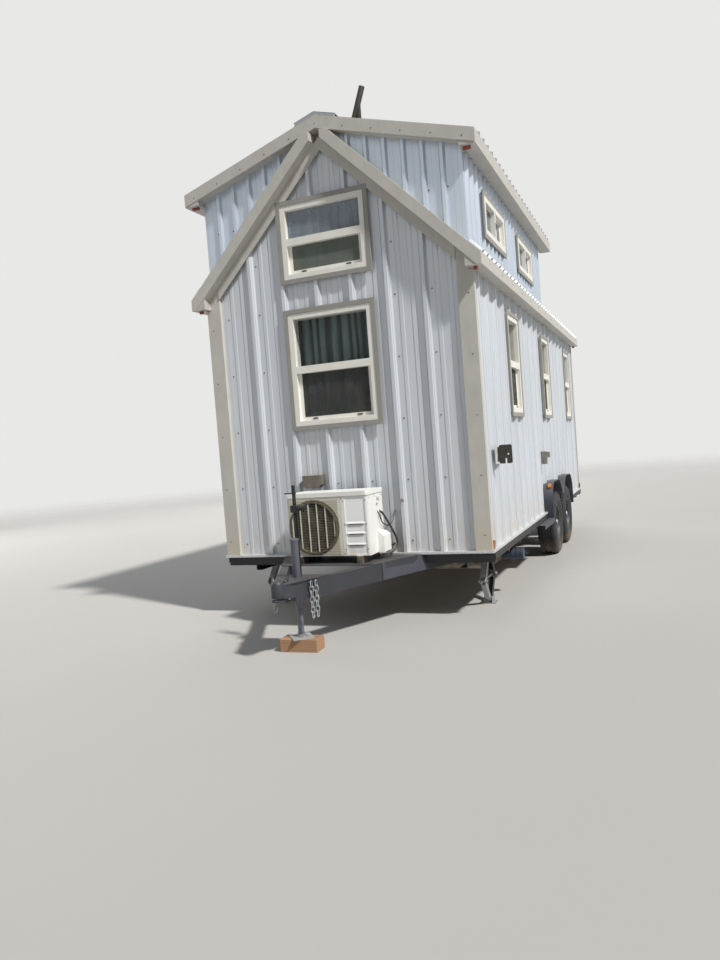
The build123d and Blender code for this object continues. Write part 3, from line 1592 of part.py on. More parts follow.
def hatch_lid():
    """Lid standing open square to the wall, with its thumb hole and cord notch."""
    x, y = hinge_line()
    z0, z1 = z_h(HATCH_H), z_h(HATCH_H) + HATCH[1]
    x1 = x + LID_WIDE
    lid = block(x + LID, x1, y - LID / 2, y + LID / 2, z0, z1)
    lid = fillet(lid.edges().filter_by(Axis.Y), LID_CORNER_R)
    low, high = z0 + KNUCKLE + GAP, z1 - KNUCKLE - GAP
    lid += block(x, x + LID * 2, y - LID / 2, y + LID / 2, low, high)
    lid += upright(x, y, low, high, LID / 2)
    lid -= upright(x, y, low, high, LID_PIN_R + GAP / 3)
    notch_x, notch_high = LID_NOTCH
    lid -= block(x + notch_x - THUMB_R, x + notch_x + THUMB_R, y - LID, y + LID, z0, z0 + notch_high)
    lid -= Pos(x1 - THUMB_IN, y, (z0 + z1) / 2) * Rot(90, 0, 0) * Cylinder(THUMB_R, 2 * LID)
    return lid


def outlet_box():
    """Covered outlet on a rib of the right wall, with the conduit under it."""
    y = y_at(OUTLET_AT)
    x0 = HALF + MINOR_RIB[2]
    deep, wide, pipe_r = OUTLET
    z0, z1 = (z_h(h) for h in OUTLET_H)
    box = block(x0, x0 + deep, y - wide / 2, y + wide / 2, z0, z1)
    cover, inset = OUTLET_COVER
    half = wide / 2 - inset
    box += block(x0 + deep, x0 + deep + cover, y - half, y + half, (z0 + z1) / 2, z1 - inset)
    pipe_y = y - wide / 2 + 2 * pipe_r
    return box + rod((x0 + pipe_r, pipe_y, z0), (x0 + pipe_r, pipe_y, z_h(OUTLET_PIPE_H)), pipe_r)


def marker_lights():
    """Lamps under the roof corners, at the house's lower corners and on the fenders."""
    wide, deep, high = LAMP
    lamps = []
    dormer_z = z_h(DORMER_EAVE_BOTTOM_H) - FASCIA
    eave_z = z_h(EAVE_BOTTOM_H) - FASCIA
    x = EAVE_X - LAMP_IN_X + GAP
    dormer_x = DORMER_EAVE_X - LAMP_IN_X
    y = FRONT_Y - LAMP_OUT
    ends = (FRONT_Y - GABLE_OVERHANG + LAMP_OUT, BACK_Y + GABLE_OVERHANG - LAMP_OUT - deep)
    lamps.append(block(dormer_x, dormer_x + wide, y - deep, y, dormer_z - high, dormer_z))
    for y in ends:
        lamps.append(block(x + wide / 2, x + wide, y, y + deep, eave_z - high, eave_z))
    out, long, tall = CORNER_LAMP
    x = HALF + PROUD + GAP + TRIM_METAL
    z = z_h(CORNER_LAMP_H)
    for y in (FRONT_Y, BACK_Y - long):
        lamps.append(block(x, x + out, y, y + long, z, z + tall))
    lamps.append(fender_lamp())
    return [piece for lamp in lamps for piece in both_sides(lamp)]


def fender_lamp():
    """Lamp on the front of the first hump, its back cut to the hump's curve."""
    out, long, tall = FENDER_LAMP
    lean = radians(FENDER_LAMP_LEAN)
    y = y_at(FENDER_FRONT_AT) + HUMP_RADIUS * (1 - sin(lean))
    z = z_h(FENDER_TOP_H) - HUMP_RADIUS * (1 - cos(lean))
    lamp = Pos(FENDER_LAMP_X, y, z) * Rot(FENDER_LAMP_LEAN, 0, 0) * Box(out, long, 2 * tall)
    return lamp - fender_body(0, FENDER_LAMP_X - out, FENDER_LAMP_X + out)


def roof_mast():
    """Leaning pipe on the dormer's ridge, with the upright that props it."""
    y = y_at(MAST_AT)
    tip = (MAST_TIP_X, y, z_h(MAST_TIP_H))
    lean = (MAST_TIP_X - MAST_FOOT_X) / (tip[2] - cap_top(MAST_FOOT_X))
    sunk = MAST_R
    foot = (MAST_FOOT_X - sunk * lean, y, cap_top(MAST_FOOT_X) - sunk)
    pipe = rod(foot, tip, MAST_R)
    meet_z = cap_top(MAST_FOOT_X) + (PROP_X - MAST_FOOT_X) / lean
    prop = rod((PROP_X, y, cap_top(PROP_X) - sunk), (PROP_X, y, meet_z), PROP_R)
    half = DORMER_EAVE_X
    ground = along_y(
        [(-half, z_h(0)), (-half, cap_top(half)), (0, cap_top(0)), (half, cap_top(half)), (half, z_h(0))],
        y - sunk * 2,
        y + sunk * 2,
    )
    return (pipe + prop) - ground


def waste_pipe():
    """Drain under the floor: riser, cross run, rising fitting and the ribbed end of its hose."""
    y, z = y_at(DRAIN_AT), z_h(DRAIN_H)
    x0, x1 = DRAIN_X
    end_x0, end_x1 = DRAIN_END_X
    end_z = z_h(DRAIN_END_H)
    run = rod((x0, y, z), (x1, y, z), DRAIN_R)
    riser = rod((DRAIN_RISER_X, y, z), (DRAIN_RISER_X, y, z_h(0)), DRAIN_R)
    knee = rod((x1, y, z), (end_x0, y, end_z), DRAIN_R) + Pos(x1, y, z) * Sphere(DRAIN_R)
    return run + riser + knee + hose_end(end_x0, end_x1, y, end_z)


def hose_end(x0, x1, y, z):
    """Ribbed cap at the end of the drain."""
    step = (x1 - x0) / (2 * HOSE_RIBS + 1)
    piece = rod((x0, y, z), (x1, y, z), DRAIN_END_R - HOSE_RIB)
    for i in range(HOSE_RIBS + 1):
        piece += rod((x0 + 2 * i * step, y, z), (x0 + (2 * i + 1) * step, y, z), DRAIN_END_R)
    return piece


def eave_trim():
    """Fascia and soffit of the right eave, folded from one sheet."""
    y0 = FRONT_Y - GABLE_OVERHANG
    y1 = BACK_Y + GABLE_OVERHANG
    z0 = z_h(EAVE_BOTTOM_H)
    fascia = block(EAVE_X, EAVE_X + FASCIA, y0 - FASCIA, y1 + FASCIA, z0 - FASCIA, main_top(EAVE_X))
    soffit = block(HALF + PROUD + GAP, EAVE_X, y0, y1, z0 - FASCIA, z0)
    return fascia + soffit


def rake_trim():
    """Sheets over the right front rake and the right rear rake."""
    top_x = gable_rake_top_x()
    inner_x = top_x - MAIN_DROP / 2
    low = z_h(EAVE_BOTTOM_H)
    foot = [
        (EAVE_X, main_top(EAVE_X)),
        (EAVE_X, low - FASCIA),
        (HALF + PROUD + GAP, low - FASCIA),
        (HALF + PROUD + GAP, low),
        (main_under_x(low), low),
    ]
    front = [(top_x, main_top(top_x)), *foot, (inner_x, main_under(inner_x)), (inner_x, main_top(top_x))]
    rear = [(0, main_top(0)), *foot, (0, main_under(0))]
    y0 = FRONT_Y - GABLE_OVERHANG
    y1 = BACK_Y + GABLE_OVERHANG
    return along_y(front, y0 - FASCIA, y0) + along_y(rear, y1, y1 + FASCIA)


def roof_trims():
    """Fascias, soffits and rake sheets of the main roof."""
    right = eave_trim() + rake_trim()
    return right + mirrored(right)


def main_under_x(z):
    """Where the main roof's underside comes down to a height."""
    return (z_h(MAIN_RIDGE_H) - MAIN_DROP - z) / MAIN_SLOPE


def dormer_trims():
    """Fascias and soffits of the dormer roof, one folded piece."""
    y0 = FRONT_Y - DORMER_FRONT_OVERHANG
    y1 = DORMER_BACK_Y + DORMER_REAR_OVERHANG
    z0 = z_h(DORMER_EAVE_BOTTOM_H)
    edge_x = DORMER_EAVE_X
    in_x = edge_x - FASCIA
    low = z0 - FASCIA
    side = block(edge_x, edge_x + FASCIA, y0 - FASCIA, y1 + FASCIA, low, dormer_top(edge_x))
    soffit = block(HALF + NARROW_RIB[2] + GAP, edge_x, y0, y1, low, z0)
    outline = [
        (0, dormer_top(0)),
        (edge_x, dormer_top(edge_x)),
        (edge_x, low),
        (in_x, low),
        (in_x, dormer_under(in_x)),
        (0, dormer_under(0)),
    ]
    front = along_y(outline, y0 - FASCIA, y0)
    ridge = [(0, 0), (EAVE_X, 0), (EAVE_X, main_top(EAVE_X) + GAP), (0, main_top(0) + GAP)]
    rear = along_y(outline, y1, y1 + FASCIA) - along_y(ridge, y1, y1 + FASCIA)
    whole = side + soffit + front + rear
    return whole + mirrored(whole)


# Stabiliser jacks


def stab_points():
    """Pivots of a jack as (y, z): a pair at the head, one at each side, a pair at the foot."""
    y = y_at(STAB_AT)
    apart = STAB_PIVOT_APART / 2
    round_r = STAB_CHANNEL / 2
    head_z = z_h(RAIL_TOP_H) - CROSS_DEEP - STAB_PLATE - round_r - STAB_EAR_GAP
    foot_z = STAB_FOOT[2] + round_r + STAB_EAR_GAP
    middle_z = (head_z + foot_z) / 2
    return {
        "front": {
            "head": (y - apart, head_z),
            "side": (y - apart - STAB_SPREAD, middle_z),
            "foot": (y - apart, foot_z),
        },
        "rear": {
            "head": (y + apart, head_z),
            "side": (y + apart + STAB_SPREAD, middle_z),
            "foot": (y + apart, foot_z),
        },
    }


def stab_arm(start, end, wide, radii, web):
    """Channel arm between two pivots with holes of two radii; web 1 or -1 is its closed side."""
    (y0, z0), (y1, z1) = start, end
    length = hypot(y1 - y0, z1 - z0)
    half = STAB_CHANNEL / 2
    arm = along_x([(0, -half), (length, -half), (length, half), (0, half)], -wide / 2, wide / 2)
    for y in (0, length):
        arm += Pos(0, y, 0) * Rot(0, 90, 0) * Cylinder(half, wide)
    inner = wide / 2 - STAB_SHEET
    open_z = sorted((-web * half, web * (half - STAB_SHEET)))
    arm -= block(-inner, inner, half + STAB_SHEET, length - half - STAB_SHEET, *open_z)
    for y, r in zip((0, length), radii):
        arm -= block(-inner, inner, y - half - STAB_SHEET, y + half + STAB_SHEET, -half, half)
        arm -= Pos(0, y, 0) * Rot(0, 90, 0) * Cylinder(r + GAP, wide)
    angle = degrees(atan2(z1 - z0, y1 - y0))
    return Pos(STAB_X, y0, z0) * Rot(angle, 0, 0) * arm


def stab_pin(point, radius=STAB_PIN_R):
    y, z = point
    return rod((STAB_X - STAB_PIN_X, y, z), (STAB_X + STAB_PIN_X, y, z), radius)


def stab_web(end):
    """Side of an arm's own frame that faces out of the diamond."""
    return 1 if end == "front" else -1


def stab_upper(end):
    """Upper arm: the wider channel, from the side pivot up to the head."""
    at = stab_points()[end]
    radii = (STAB_TRUNNION_R, STAB_PIN_R)
    return stab_arm(at["side"], at["head"], STAB_CHANNEL_WIDE, radii, stab_web(end))


def stab_lower(end):
    """Lower arm, its cheeks inside those of the upper arm."""
    at = stab_points()[end]
    wide = STAB_CHANNEL_WIDE - 2 * STAB_SHEET - 2 * STAB_ARM_GAP
    radii = (STAB_PIN_R, STAB_TRUNNION_R)
    return stab_arm(at["foot"], at["side"], wide, radii, stab_web(end))


def stab_screw():
    """Screw along the middle of the jack, fixed in the front trunnion."""
    points = stab_points()
    y0, z = points["front"]["side"]
    y1, _ = points["rear"]["side"]
    shaft = rod((STAB_X, y0 - STAB_SCREW_OUT, z), (STAB_X, y1 + STAB_CHANNEL, z), STAB_SCREW_R)
    return shaft + stab_pin(points["front"]["side"], STAB_TRUNNION_R)


def stab_nut():
    """Rear trunnion, bored for the screw."""
    y, z = stab_points()["rear"]["side"]
    nut = stab_pin((y, z), STAB_TRUNNION_R)
    reach = STAB_TRUNNION_R * 2
    return nut - rod((STAB_X, y - reach, z), (STAB_X, y + reach, z), STAB_SCREW_R + STAB_NUT_GAP)


def stab_ears(x_gap, y_half, z0, z1):
    """Two upright plates beside the arms' ends."""
    y = y_at(STAB_AT)
    inner = STAB_CHANNEL_WIDE / 2 + x_gap
    ears = []
    for side in (-1, 1):
        x0, x1 = STAB_X + side * inner, STAB_X + side * (inner + STAB_SHEET)
        ears.append(block(x0, x1, y - y_half, y + y_half, z0, z1))
    return ears[0] + ears[1]


def stab_head():
    """Bracket under the frame with the two pins that the upper arms hang on."""
    points = stab_points()
    z = points["front"]["head"][1]
    top = z_h(RAIL_TOP_H) - CROSS_DEEP
    y = y_at(STAB_AT)
    half_y = STAB_PIVOT_APART / 2 + STAB_CHANNEL / 2
    half_x = STAB_CHANNEL_WIDE / 2 + STAB_EAR_GAP + STAB_SHEET
    plate = block(STAB_X - half_x, STAB_X + half_x, y - half_y, y + half_y, top - STAB_PLATE, top)
    plate += stab_ears(STAB_EAR_GAP, half_y, z - STAB_CHANNEL / 2, top)
    for end in ("front", "rear"):
        plate += stab_pin(points[end]["head"])
    return plate


def stab_foot():
    """Foot plate with the ears and pins that the lower arms stand on."""
    points = stab_points()
    z = points["front"]["foot"][1]
    y = y_at(STAB_AT)
    wide, deep, thick = STAB_FOOT
    foot = block(STAB_X - wide / 2, STAB_X + wide / 2, y - deep / 2, y + deep / 2, 0, thick)
    foot += stab_ears(STAB_EAR_GAP, deep / 2, 0, z + STAB_CHANNEL / 2)
    for end in ("front", "rear"):
        foot += stab_pin(points[end]["foot"])
    return foot


def stabilisers():
    """Nodes of the scissor jacks, each with the piece of the right jack."""
    return {
        "stabiliser_heads": stab_head(),
        "stabiliser_front_upper_arms": stab_upper("front"),
        "stabiliser_rear_upper_arms": stab_upper("rear"),
        "stabiliser_front_lower_arms": stab_lower("front"),
        "stabiliser_rear_lower_arms": stab_lower("rear"),
        "stabiliser_screws": stab_screw(),
        "stabiliser_nuts": stab_nut(),
        "stabiliser_feet": stab_foot(),
    }


def main():
    os.makedirs("parts", exist_ok=True)
    write("floor_deck", floor_deck())
    write("front_wall", front_wall())
    write("rear_wall", rear_wall())
    write("right_wall", side_wall(1))
    write("left_wall", side_wall(-1))
    write("dormer_back_wall", dormer_back_wall())
    write("right_roof", main_roof())
    write("left_roof", mirrored(main_roof()))
    write("gable_rakes", both_sides(gable_rake()))
    write("dormer_roof", dormer_roof())
    write("wall_siding", wall_siding())
    write("dormer_siding", dormer_siding())
    write("roofing", roofing())
    write("ridge_caps", ridge_caps())
    write("corner_trims", corner_trims())
    write("roof_trims", roof_trims())
    write("dormer_trims", dormer_trims())
    write("base_flashing", base_flashing())
    write("friezes", friezes())
    frames, panes, casings, curtains = window_set()
    write("window_frames", frames)
    write("window_panes", panes)
    write("window_casings", casings)
    write("curtains", curtains)
    write("entry_door", entry_door())
    write("main_rails", main_rails())
    write("cross_members", cross_members())
    write("rub_rails", rub_rails())
    write("tongue_rails", tongue_rails())
    write("tongue_deck", tongue_deck())
    write("coupler", coupler())
    write("axles", axles())
    write("fenders", both_sides(fender()))
    for name, side, at in wheel_places():
        write(name, wheel(side, at))
    for name, piece in stabilisers().items():
        write(name, both_sides(piece))
    write("jack_tube", jack_tube())
    write("jack_leg", jack_leg())
    write("jack_block", jack_block())
    write("plug_post", plug_post())
    write("safety_chains", safety_chains())
    write("ac_case", ac_case())
    write("ac_fan", ac_fan())
    write("ac_guard", ac_guard())
    write("ac_lines", ac_lines())
    write("junction_box", junction_box())
    write("inlet_hatch", hatch())
    write("inlet_lid", hatch_lid())
    write("outlet_box", outlet_box())
    write("marker_lights", marker_lights())
    write("roof_mast", roof_mast())
    write("waste_pipe", waste_pipe())


main()
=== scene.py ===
"""Looks of the tiny house on wheels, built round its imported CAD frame."""

import math

import bpy
import numpy as np
from bpy.props import FloatProperty, FloatVectorProperty, IntProperty, PointerProperty
from mathutils import Matrix, Vector


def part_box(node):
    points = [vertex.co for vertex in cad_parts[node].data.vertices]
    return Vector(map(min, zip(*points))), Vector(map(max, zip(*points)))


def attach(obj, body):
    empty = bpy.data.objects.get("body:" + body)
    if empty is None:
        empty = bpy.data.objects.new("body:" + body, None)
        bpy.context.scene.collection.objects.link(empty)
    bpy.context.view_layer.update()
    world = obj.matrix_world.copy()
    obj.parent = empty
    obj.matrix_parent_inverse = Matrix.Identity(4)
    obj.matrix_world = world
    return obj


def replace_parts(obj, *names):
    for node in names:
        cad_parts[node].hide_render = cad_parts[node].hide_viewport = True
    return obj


bl_info = {
    "name": "Tiny House On Wheels",
    "version": (1, 0, 0),
    "blender": (4, 5, 0),
    "location": "View3D > Sidebar > Tiny House",
    "description": "Finishes, fittings, curtains, wheels and stage of a tiny house on a trailer",
    "category": "Add Mesh",
}

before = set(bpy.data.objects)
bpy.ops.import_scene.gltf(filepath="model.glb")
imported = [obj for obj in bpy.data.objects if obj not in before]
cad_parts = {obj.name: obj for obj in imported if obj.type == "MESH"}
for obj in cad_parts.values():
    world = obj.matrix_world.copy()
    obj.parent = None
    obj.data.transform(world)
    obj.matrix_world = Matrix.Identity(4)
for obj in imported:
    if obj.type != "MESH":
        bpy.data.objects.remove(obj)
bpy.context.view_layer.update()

RIGHT = Vector((1, 0, 0))
REARWARD = Vector((0, 1, 0))
UP = Vector((0, 0, 1))

# The house: X to its right, Y to its rear, Z up from the ground
SHEET = 0.004
FRONT_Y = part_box("front_wall")[0].y - SHEET
BACK_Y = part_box("rear_wall")[1].y + SHEET
BASE_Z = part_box("floor_deck")[0].z
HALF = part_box("right_wall")[1].x + SHEET
RIB = 0.032
MAJOR_PITCH = 0.3048
MINOR_PITCH = 0.1016
ROOF_PITCH = 0.1524
FIRST_RIB_X = -0.740
FIRST_RIB_ALONG = 0.150
DORMER_SLOPE = math.tan(math.radians(16.85))
DORMER_FALL = 0.303
MAIN_RIDGE_Z = BASE_Z + 3.490

# Windows: side, place along the wall, sill above the siding's foot, width, height
SASH_WINDOWS = [
    (side, -0.032, *sizes)
    for side in ("front", "rear")
    for sizes in ((1.073, 0.740, 0.925), (2.284, 0.740, 0.600))
]
SASH_WINDOWS += [("right", along, 1.073, 0.504, 0.884) for along in (1.420, 3.380, 5.335)]
SASH_WINDOWS += [("left", along, 1.073, 0.504, 0.884) for along in (3.380, 5.335)]
SLIDERS = [(side, along, 2.521, 0.310) for side in ("right", "left") for along in (0.930, 2.420)]
FRAME_FACE = 0.042
SASH_FACE = 0.030
FRAME_PROUD = 0.038
SASH_STEP = 0.034

WHEELS = (
    ("front_right_wheel", 1, 3.20),
    ("front_left_wheel", -1, 3.20),
    ("rear_right_wheel", 1, 4.09),
    ("rear_left_wheel", -1, 4.09),
)
WHEEL_X = 1.142
WHEEL_R = 0.360
RIM_R = 0.195

LEAF_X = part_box("entry_door")[0].x + 0.032
DOOR_MIDDLE = FRONT_Y + 1.560
PANELS_UP = ((0.30, 1.02), (1.14, 1.86))
PANELS_ALONG = ((-0.285, -0.035), (0.035, 0.285))
LATCH_AT = Vector((LEAF_X, DOOR_MIDDLE + 0.315, BASE_Z + 1.09))
LOCK_ABOVE_LATCH = 0.18
HINGE_ASIDE = -0.374
HINGES_UP = (0.30, 1.05, 1.80)
HINGE_TALL = 0.09

UNIT_LOW = Vector((-0.330, FRONT_Y - 0.460, BASE_Z + 0.045))
UNIT_SIZE = Vector((0.680, 0.340, 0.490))
FAN_AT = Vector((-0.105, UNIT_LOW.y, BASE_Z + 0.268))
FAN_R = 0.1925
FAN_RING = 0.216
LOUVRES_Z = [UNIT_LOW.z + up for up in (0.085, 0.169, 0.245)]
PLUG_AT = Vector((0.022, FRONT_Y - 0.955, 1.0))
TONGUE_NOSE = FRONT_Y - 1.340
TONGUE_TURN = math.radians(25)
TONGUE_TOP = BASE_Z - 0.020
RAIL_SPOT = Vector((0.46, -2.700, TONGUE_TOP - 0.061))
PLATE_START_Y = -2.885
PLATE_OUT = 0.0065
PLATE_THICK = 0.006
PIPE_END_Y = FRONT_Y - 0.006
STABILISER = Vector((0.990, FRONT_Y + 0.550, 0.4008))


def rgb(red, green, blue):
    """Linear colour from the values that a colour picker shows."""
    parts = [v / 255 for v in (red, green, blue)]
    return tuple(((v + 0.055) / 1.055) ** 2.4 if v > 0.04 else v / 12.92 for v in parts)


def shade(colour, factor):
    return tuple(min(1.0, part * factor) for part in colour[:3])


def tint(name, text, values):
    return FloatVectorProperty(
        name=name, description=text, subtype="COLOR", size=3, min=0.0, max=1.0, default=rgb(*values)
    )


class HouseColours(bpy.types.PropertyGroup):
    """Colours of the house's finishes."""

    siding: tint("Siding", "Ribbed metal siding", (208, 213, 219))
    dormer: tint("Dormer", "Bare metal cladding of the dormer", (200, 210, 222))
    roofing: tint("Roofing", "Ribbed metal roofing", (166, 170, 173))
    trim: tint("Trim", "Corner covers, fascias and casings", (196, 193, 186))
    vinyl: tint("Vinyl", "Window frames", (238, 236, 228))
    glass: tint("Glass", "Tint of the panes", (38, 46, 50))
    lounge_curtain: tint("Lounge curtain", "Curtains of the lounge window", (138, 160, 160))
    loft_curtain: tint("Loft curtain", "Curtains of the loft window", (232, 236, 238))
    side_curtain: tint("Side curtain", "Curtains of the side windows", (150, 146, 126))
    slate: tint("Trailer paint", "Painted steel of the trailer", (68, 70, 78))
    zinc: tint("Zinc", "Galvanised steel", (158, 162, 165))
    rubber: tint("Rubber", "Tyres", (44, 45, 47))
    rim: tint("Rims", "Steel rims", (52, 54, 58))
    wood: tint("Wood", "Block under the jack", (174, 136, 104))
    unit: tint("Outdoor unit", "Case of the outdoor unit", (236, 236, 232))
    unit_aged: tint("Aged plastic", "Yellowed surround of the fan", (224, 221, 204))
    unit_panel: tint("Unit panel", "Grey panel beside the fan", (250, 251, 251))
    door: tint("Door", "Entrance door", (214, 211, 200))
    timber: tint("Timber", "Plywood and lining", (196, 170, 132))
    floor: tint("Stage", "Floor of the stage", (184, 182, 179))


class HouseSizes(bpy.types.PropertyGroup):
    """Sizes of the fittings that are added to the house."""

    screw: FloatProperty(
        name="Screw", description="Radius of a siding screw's washer", default=0.0075,
        min=0.002, max=0.02, unit="LENGTH",
    )
    screw_rows: IntProperty(
        name="Screw rows", description="Rows of screws up a wall", default=5, min=2, max=12
    )
    pleat: FloatProperty(
        name="Pleat", description="Width of a curtain pleat", default=0.088, min=0.03, max=0.2,
        unit="LENGTH",
    )
    tread_blocks: IntProperty(
        name="Tread blocks", description="Blocks round a tyre", default=54, min=20, max=90
    )
    guard_pitch: FloatProperty(
        name="Guard wires", description="Distance between the wires over the fan", default=0.0125,
        min=0.006, max=0.04, unit="LENGTH",
    )
    lens: FloatProperty(
        name="Lens", description="Focal length of the camera", default=28.16, min=10.0, max=100.0
    )


# Node trees


class Value:
    """A socket of a node tree, which sums and comparisons turn into Math nodes."""

    def __init__(self, tree, socket):
        self.tree, self.socket = tree, socket

    def math(self, operation, *others):
        return self.tree.node("ShaderNodeMath", (self, *others), operation=operation)

    def __add__(self, other):
        return self.math("ADD", other)

    def __sub__(self, other):
        return self.math("SUBTRACT", other)

    def __rsub__(self, other):
        return self.tree.node("ShaderNodeMath", (other, self), operation="SUBTRACT")

    def __mul__(self, other):
        return self.math("MULTIPLY", other)

    def __gt__(self, other):
        return self.math("GREATER_THAN", other)

    def __lt__(self, other):
        return self.math("LESS_THAN", other)

    __radd__ = __add__
    __rmul__ = __mul__

    def size(self):
        return self.math("ABSOLUTE")

    def held(self):
        """Kept between 0 and 1."""
        return self.tree.node("ShaderNodeClamp", (self, 0.0, 1.0))

    def ramp(self, low, high):
        """0 at low and 1 at high, with soft ends."""
        inputs = (self, low, high, 0.0, 1.0)
        return self.tree.node("ShaderNodeMapRange", inputs, interpolation_type="SMOOTHSTEP")

    def below(self, low, high):
        """1 at low and 0 at high, with soft ends."""
        return 1.0 - self.ramp(low, high)

    def away(self, other):
        """Distance from the point where this value and the other are 0."""
        return (self * self + other * other).math("SQRT")


class Tree:
    """A node tree that is filled from empty."""

    def __init__(self, owner):
        owner.use_nodes = True
        self.tree = owner.node_tree
        self.tree.nodes.clear()

    def node(self, kind, inputs=(), output=0, **settings):
        """Adds a node: its settings first, then the values or links of its sockets."""
        made = self.tree.nodes.new(kind)
        for key, value in settings.items():
            setattr(made, key, value)
        for key, value in inputs.items() if isinstance(inputs, dict) else enumerate(inputs):
            if isinstance(value, Value):
                self.tree.links.new(value.socket, made.inputs[key])
            else:
                made.inputs[key].default_value = value
        return Value(self, made.outputs[output]) if made.outputs else None

    def parts(self, vector):
        split = self.node("ShaderNodeSeparateXYZ", (vector,))
        return [Value(self, socket) for socket in split.socket.node.outputs]


class Finish(Tree):
    """A material, and the colours that are laid over each other on it."""

    def __init__(self, name, colour, first=1.0):
        self.material = bpy.data.materials.new(name)
        super().__init__(self.material)
        self.base = colour
        self.colour = shade(colour, first)
        self.place = self.node("ShaderNodeTexCoord", (), "Object")
        self.x, self.y, self.z = self.parts(self.place)

    def stretched(self, scale):
        return self.node("ShaderNodeMapping", (self.place, (0, 0, 0), (0, 0, 0), scale))

    def noise(self, scale, detail=3.0, stretch=(1.0, 1.0, 1.0), rough=0.55):
        inputs = {"Scale": scale, "Detail": detail, "Roughness": rough}
        return self.node("ShaderNodeTexNoise", {"Vector": self.stretched(stretch), **inputs})

    def cells(self, scale):
        inputs = {"Vector": self.stretched((1.0, 1.0, 1.0)), "Scale": scale}
        return self.node("ShaderNodeTexVoronoi", inputs)

    def bands(self, scale, direction, distortion=0.0, stretch=(1.0, 1.0, 1.0)):
        inputs = {"Vector": self.stretched(stretch), "Scale": scale, "Distortion": distortion}
        return self.node(
            "ShaderNodeTexWave", inputs, "Fac", wave_type="BANDS", bands_direction=direction
        )

    def facing(self, axis):
        """How far the surface faces along an axis, signed."""
        return self.parts(self.node("ShaderNodeNewGeometry", (), "Normal"))[axis]

    def rib_foot_shade(self, along):
        """Painted shade: fine dark lines at both feet of each minor rib."""
        return (along.math("PINGPONG", MINOR_PITCH / 2) - 0.0215).size() < 0.0013

    def from_fan(self):
        """Distance from the axis of the outdoor unit's fan."""
        return (self.x - FAN_AT.x).away(self.z - FAN_AT.z)

    def mix(self, share, first, second):
        """Colour between two colours."""
        colours = [c if isinstance(c, Value) else (*c[:3], 1.0) for c in (first, second)]
        inputs = {0: share, 6: colours[0], 7: colours[1]}
        return self.node("ShaderNodeMix", inputs, 2, data_type="RGBA")

    def lay(self, share, colour):
        """Lays a colour over the others; a number stands for a shade of the finish's own."""
        if isinstance(colour, float):
            colour = shade(self.base, colour)
        self.colour = self.mix(share, self.colour, colour)

    def bump(self, height, distance, strength=1.0, under=None):
        inputs = {"Height": height, "Distance": distance, "Strength": strength}
        if under is not None:
            inputs["Normal"] = under
        return self.node("ShaderNodeBump", inputs)

    def paint(self, rough, bumps=None, more=()):
        """Shades the surface and returns the material."""
        inputs = {"Base Color": self.colour, "Roughness": rough}
        if isinstance(rough, Value):
            inputs["Roughness"] = rough.held()
        if bumps is not None:
            inputs["Normal"] = bumps
        inputs.update(more)
        self.node("ShaderNodeOutputMaterial", (self.node("ShaderNodeBsdfPrincipled", inputs),))
        return self.material


# Finishes

DUST = rgb(196, 178, 150)
GREY_DUST = rgb(138, 132, 122)
JOINT_AND_SHADE_LINE = rgb(46, 44, 42)
RUST = rgb(122, 72, 44)


def sheet_metal(name, colour, metallic, rough):
    """Ribbed sheet: rain streaks, painted shade beside its ribs, slight waves and dust at the foot."""
    f = Finish(name, colour, 0.93)
    streaks = f.noise(1.0, 5.0, (14.0, 14.0, 0.7))
    grain = f.noise(90.0, 3.0, (1.0, 1.0, 0.12))
    drips = streaks.ramp(0.64, 0.8) * f.noise(5.0, 4.0, (8.0, 8.0, 0.5)).ramp(0.52, 0.7)
    gable = f.facing(1).size() > 0.5
    # Feet of the minor ribs, for their painted shade: across the end walls, along the side walls
    seams = f.rib_foot_shade(f.x - FIRST_RIB_X) * gable
    seams += f.rib_foot_shade(f.y - (FRONT_Y + FIRST_RIB_ALONG)) * (1.0 - gable)
    f.lay(streaks.ramp(0.3, 0.72), 1.04)
    f.lay(f.noise(1.3, 2.0).ramp(0.35, 0.75) * 0.35, 0.93)
    f.lay(f.z.below(BASE_Z, BASE_Z + 0.42) * grain.ramp(0.35, 0.75) * 0.55, DUST)
    f.lay(drips * 0.4, 0.55)
    # Painted shade along the feet of the minor ribs
    f.lay(seams * (0.25 + streaks * 0.5), 0.42)
    waves = f.bump(f.noise(3.2, 2.0, (1.0, 1.0, 0.5)), 0.006, 0.35)
    dull = rough + grain * 0.16 - 0.08 + drips * 0.2
    return f.paint(dull, f.bump(grain, 0.0004, 0.25, waves), {"Metallic": metallic})


def folded_trim(name, colour):
    """Painted trim: chalky, with dirt runs and a few scuffs."""
    f = Finish(name, colour, 0.94)
    chalk = f.noise(7.0, 4.0)
    f.lay(chalk.ramp(0.3, 0.75), 1.04)
    f.lay(f.noise(1.0, 5.0, (16.0, 16.0, 0.8)).ramp(0.55, 0.8) * 0.35, 0.66)
    f.lay(f.noise(60.0, 2.0, (1.0, 1.0, 0.2)).ramp(0.66, 0.74) * 0.35, 0.7)
    f.lay(f.z.below(BASE_Z, BASE_Z + 0.3) * chalk * 0.7, DUST)
    return f.paint(0.42 + chalk * 0.2, f.bump(chalk, 0.001, 0.2))


def vinyl(colour):
    """Window frames: bright, with grey dirt in the grain and yellowing."""
    f = Finish("vinyl", colour)
    film = f.noise(9.0, 4.0, (1.0, 1.0, 0.5))
    f.lay(film.ramp(0.35, 0.8) * 0.6, 0.86)
    f.lay(f.noise(140.0, 2.0).ramp(0.64, 0.72) * 0.25, DUST)
    return f.paint(0.3 + film * 0.22, f.bump(film, 0.0006, 0.2))


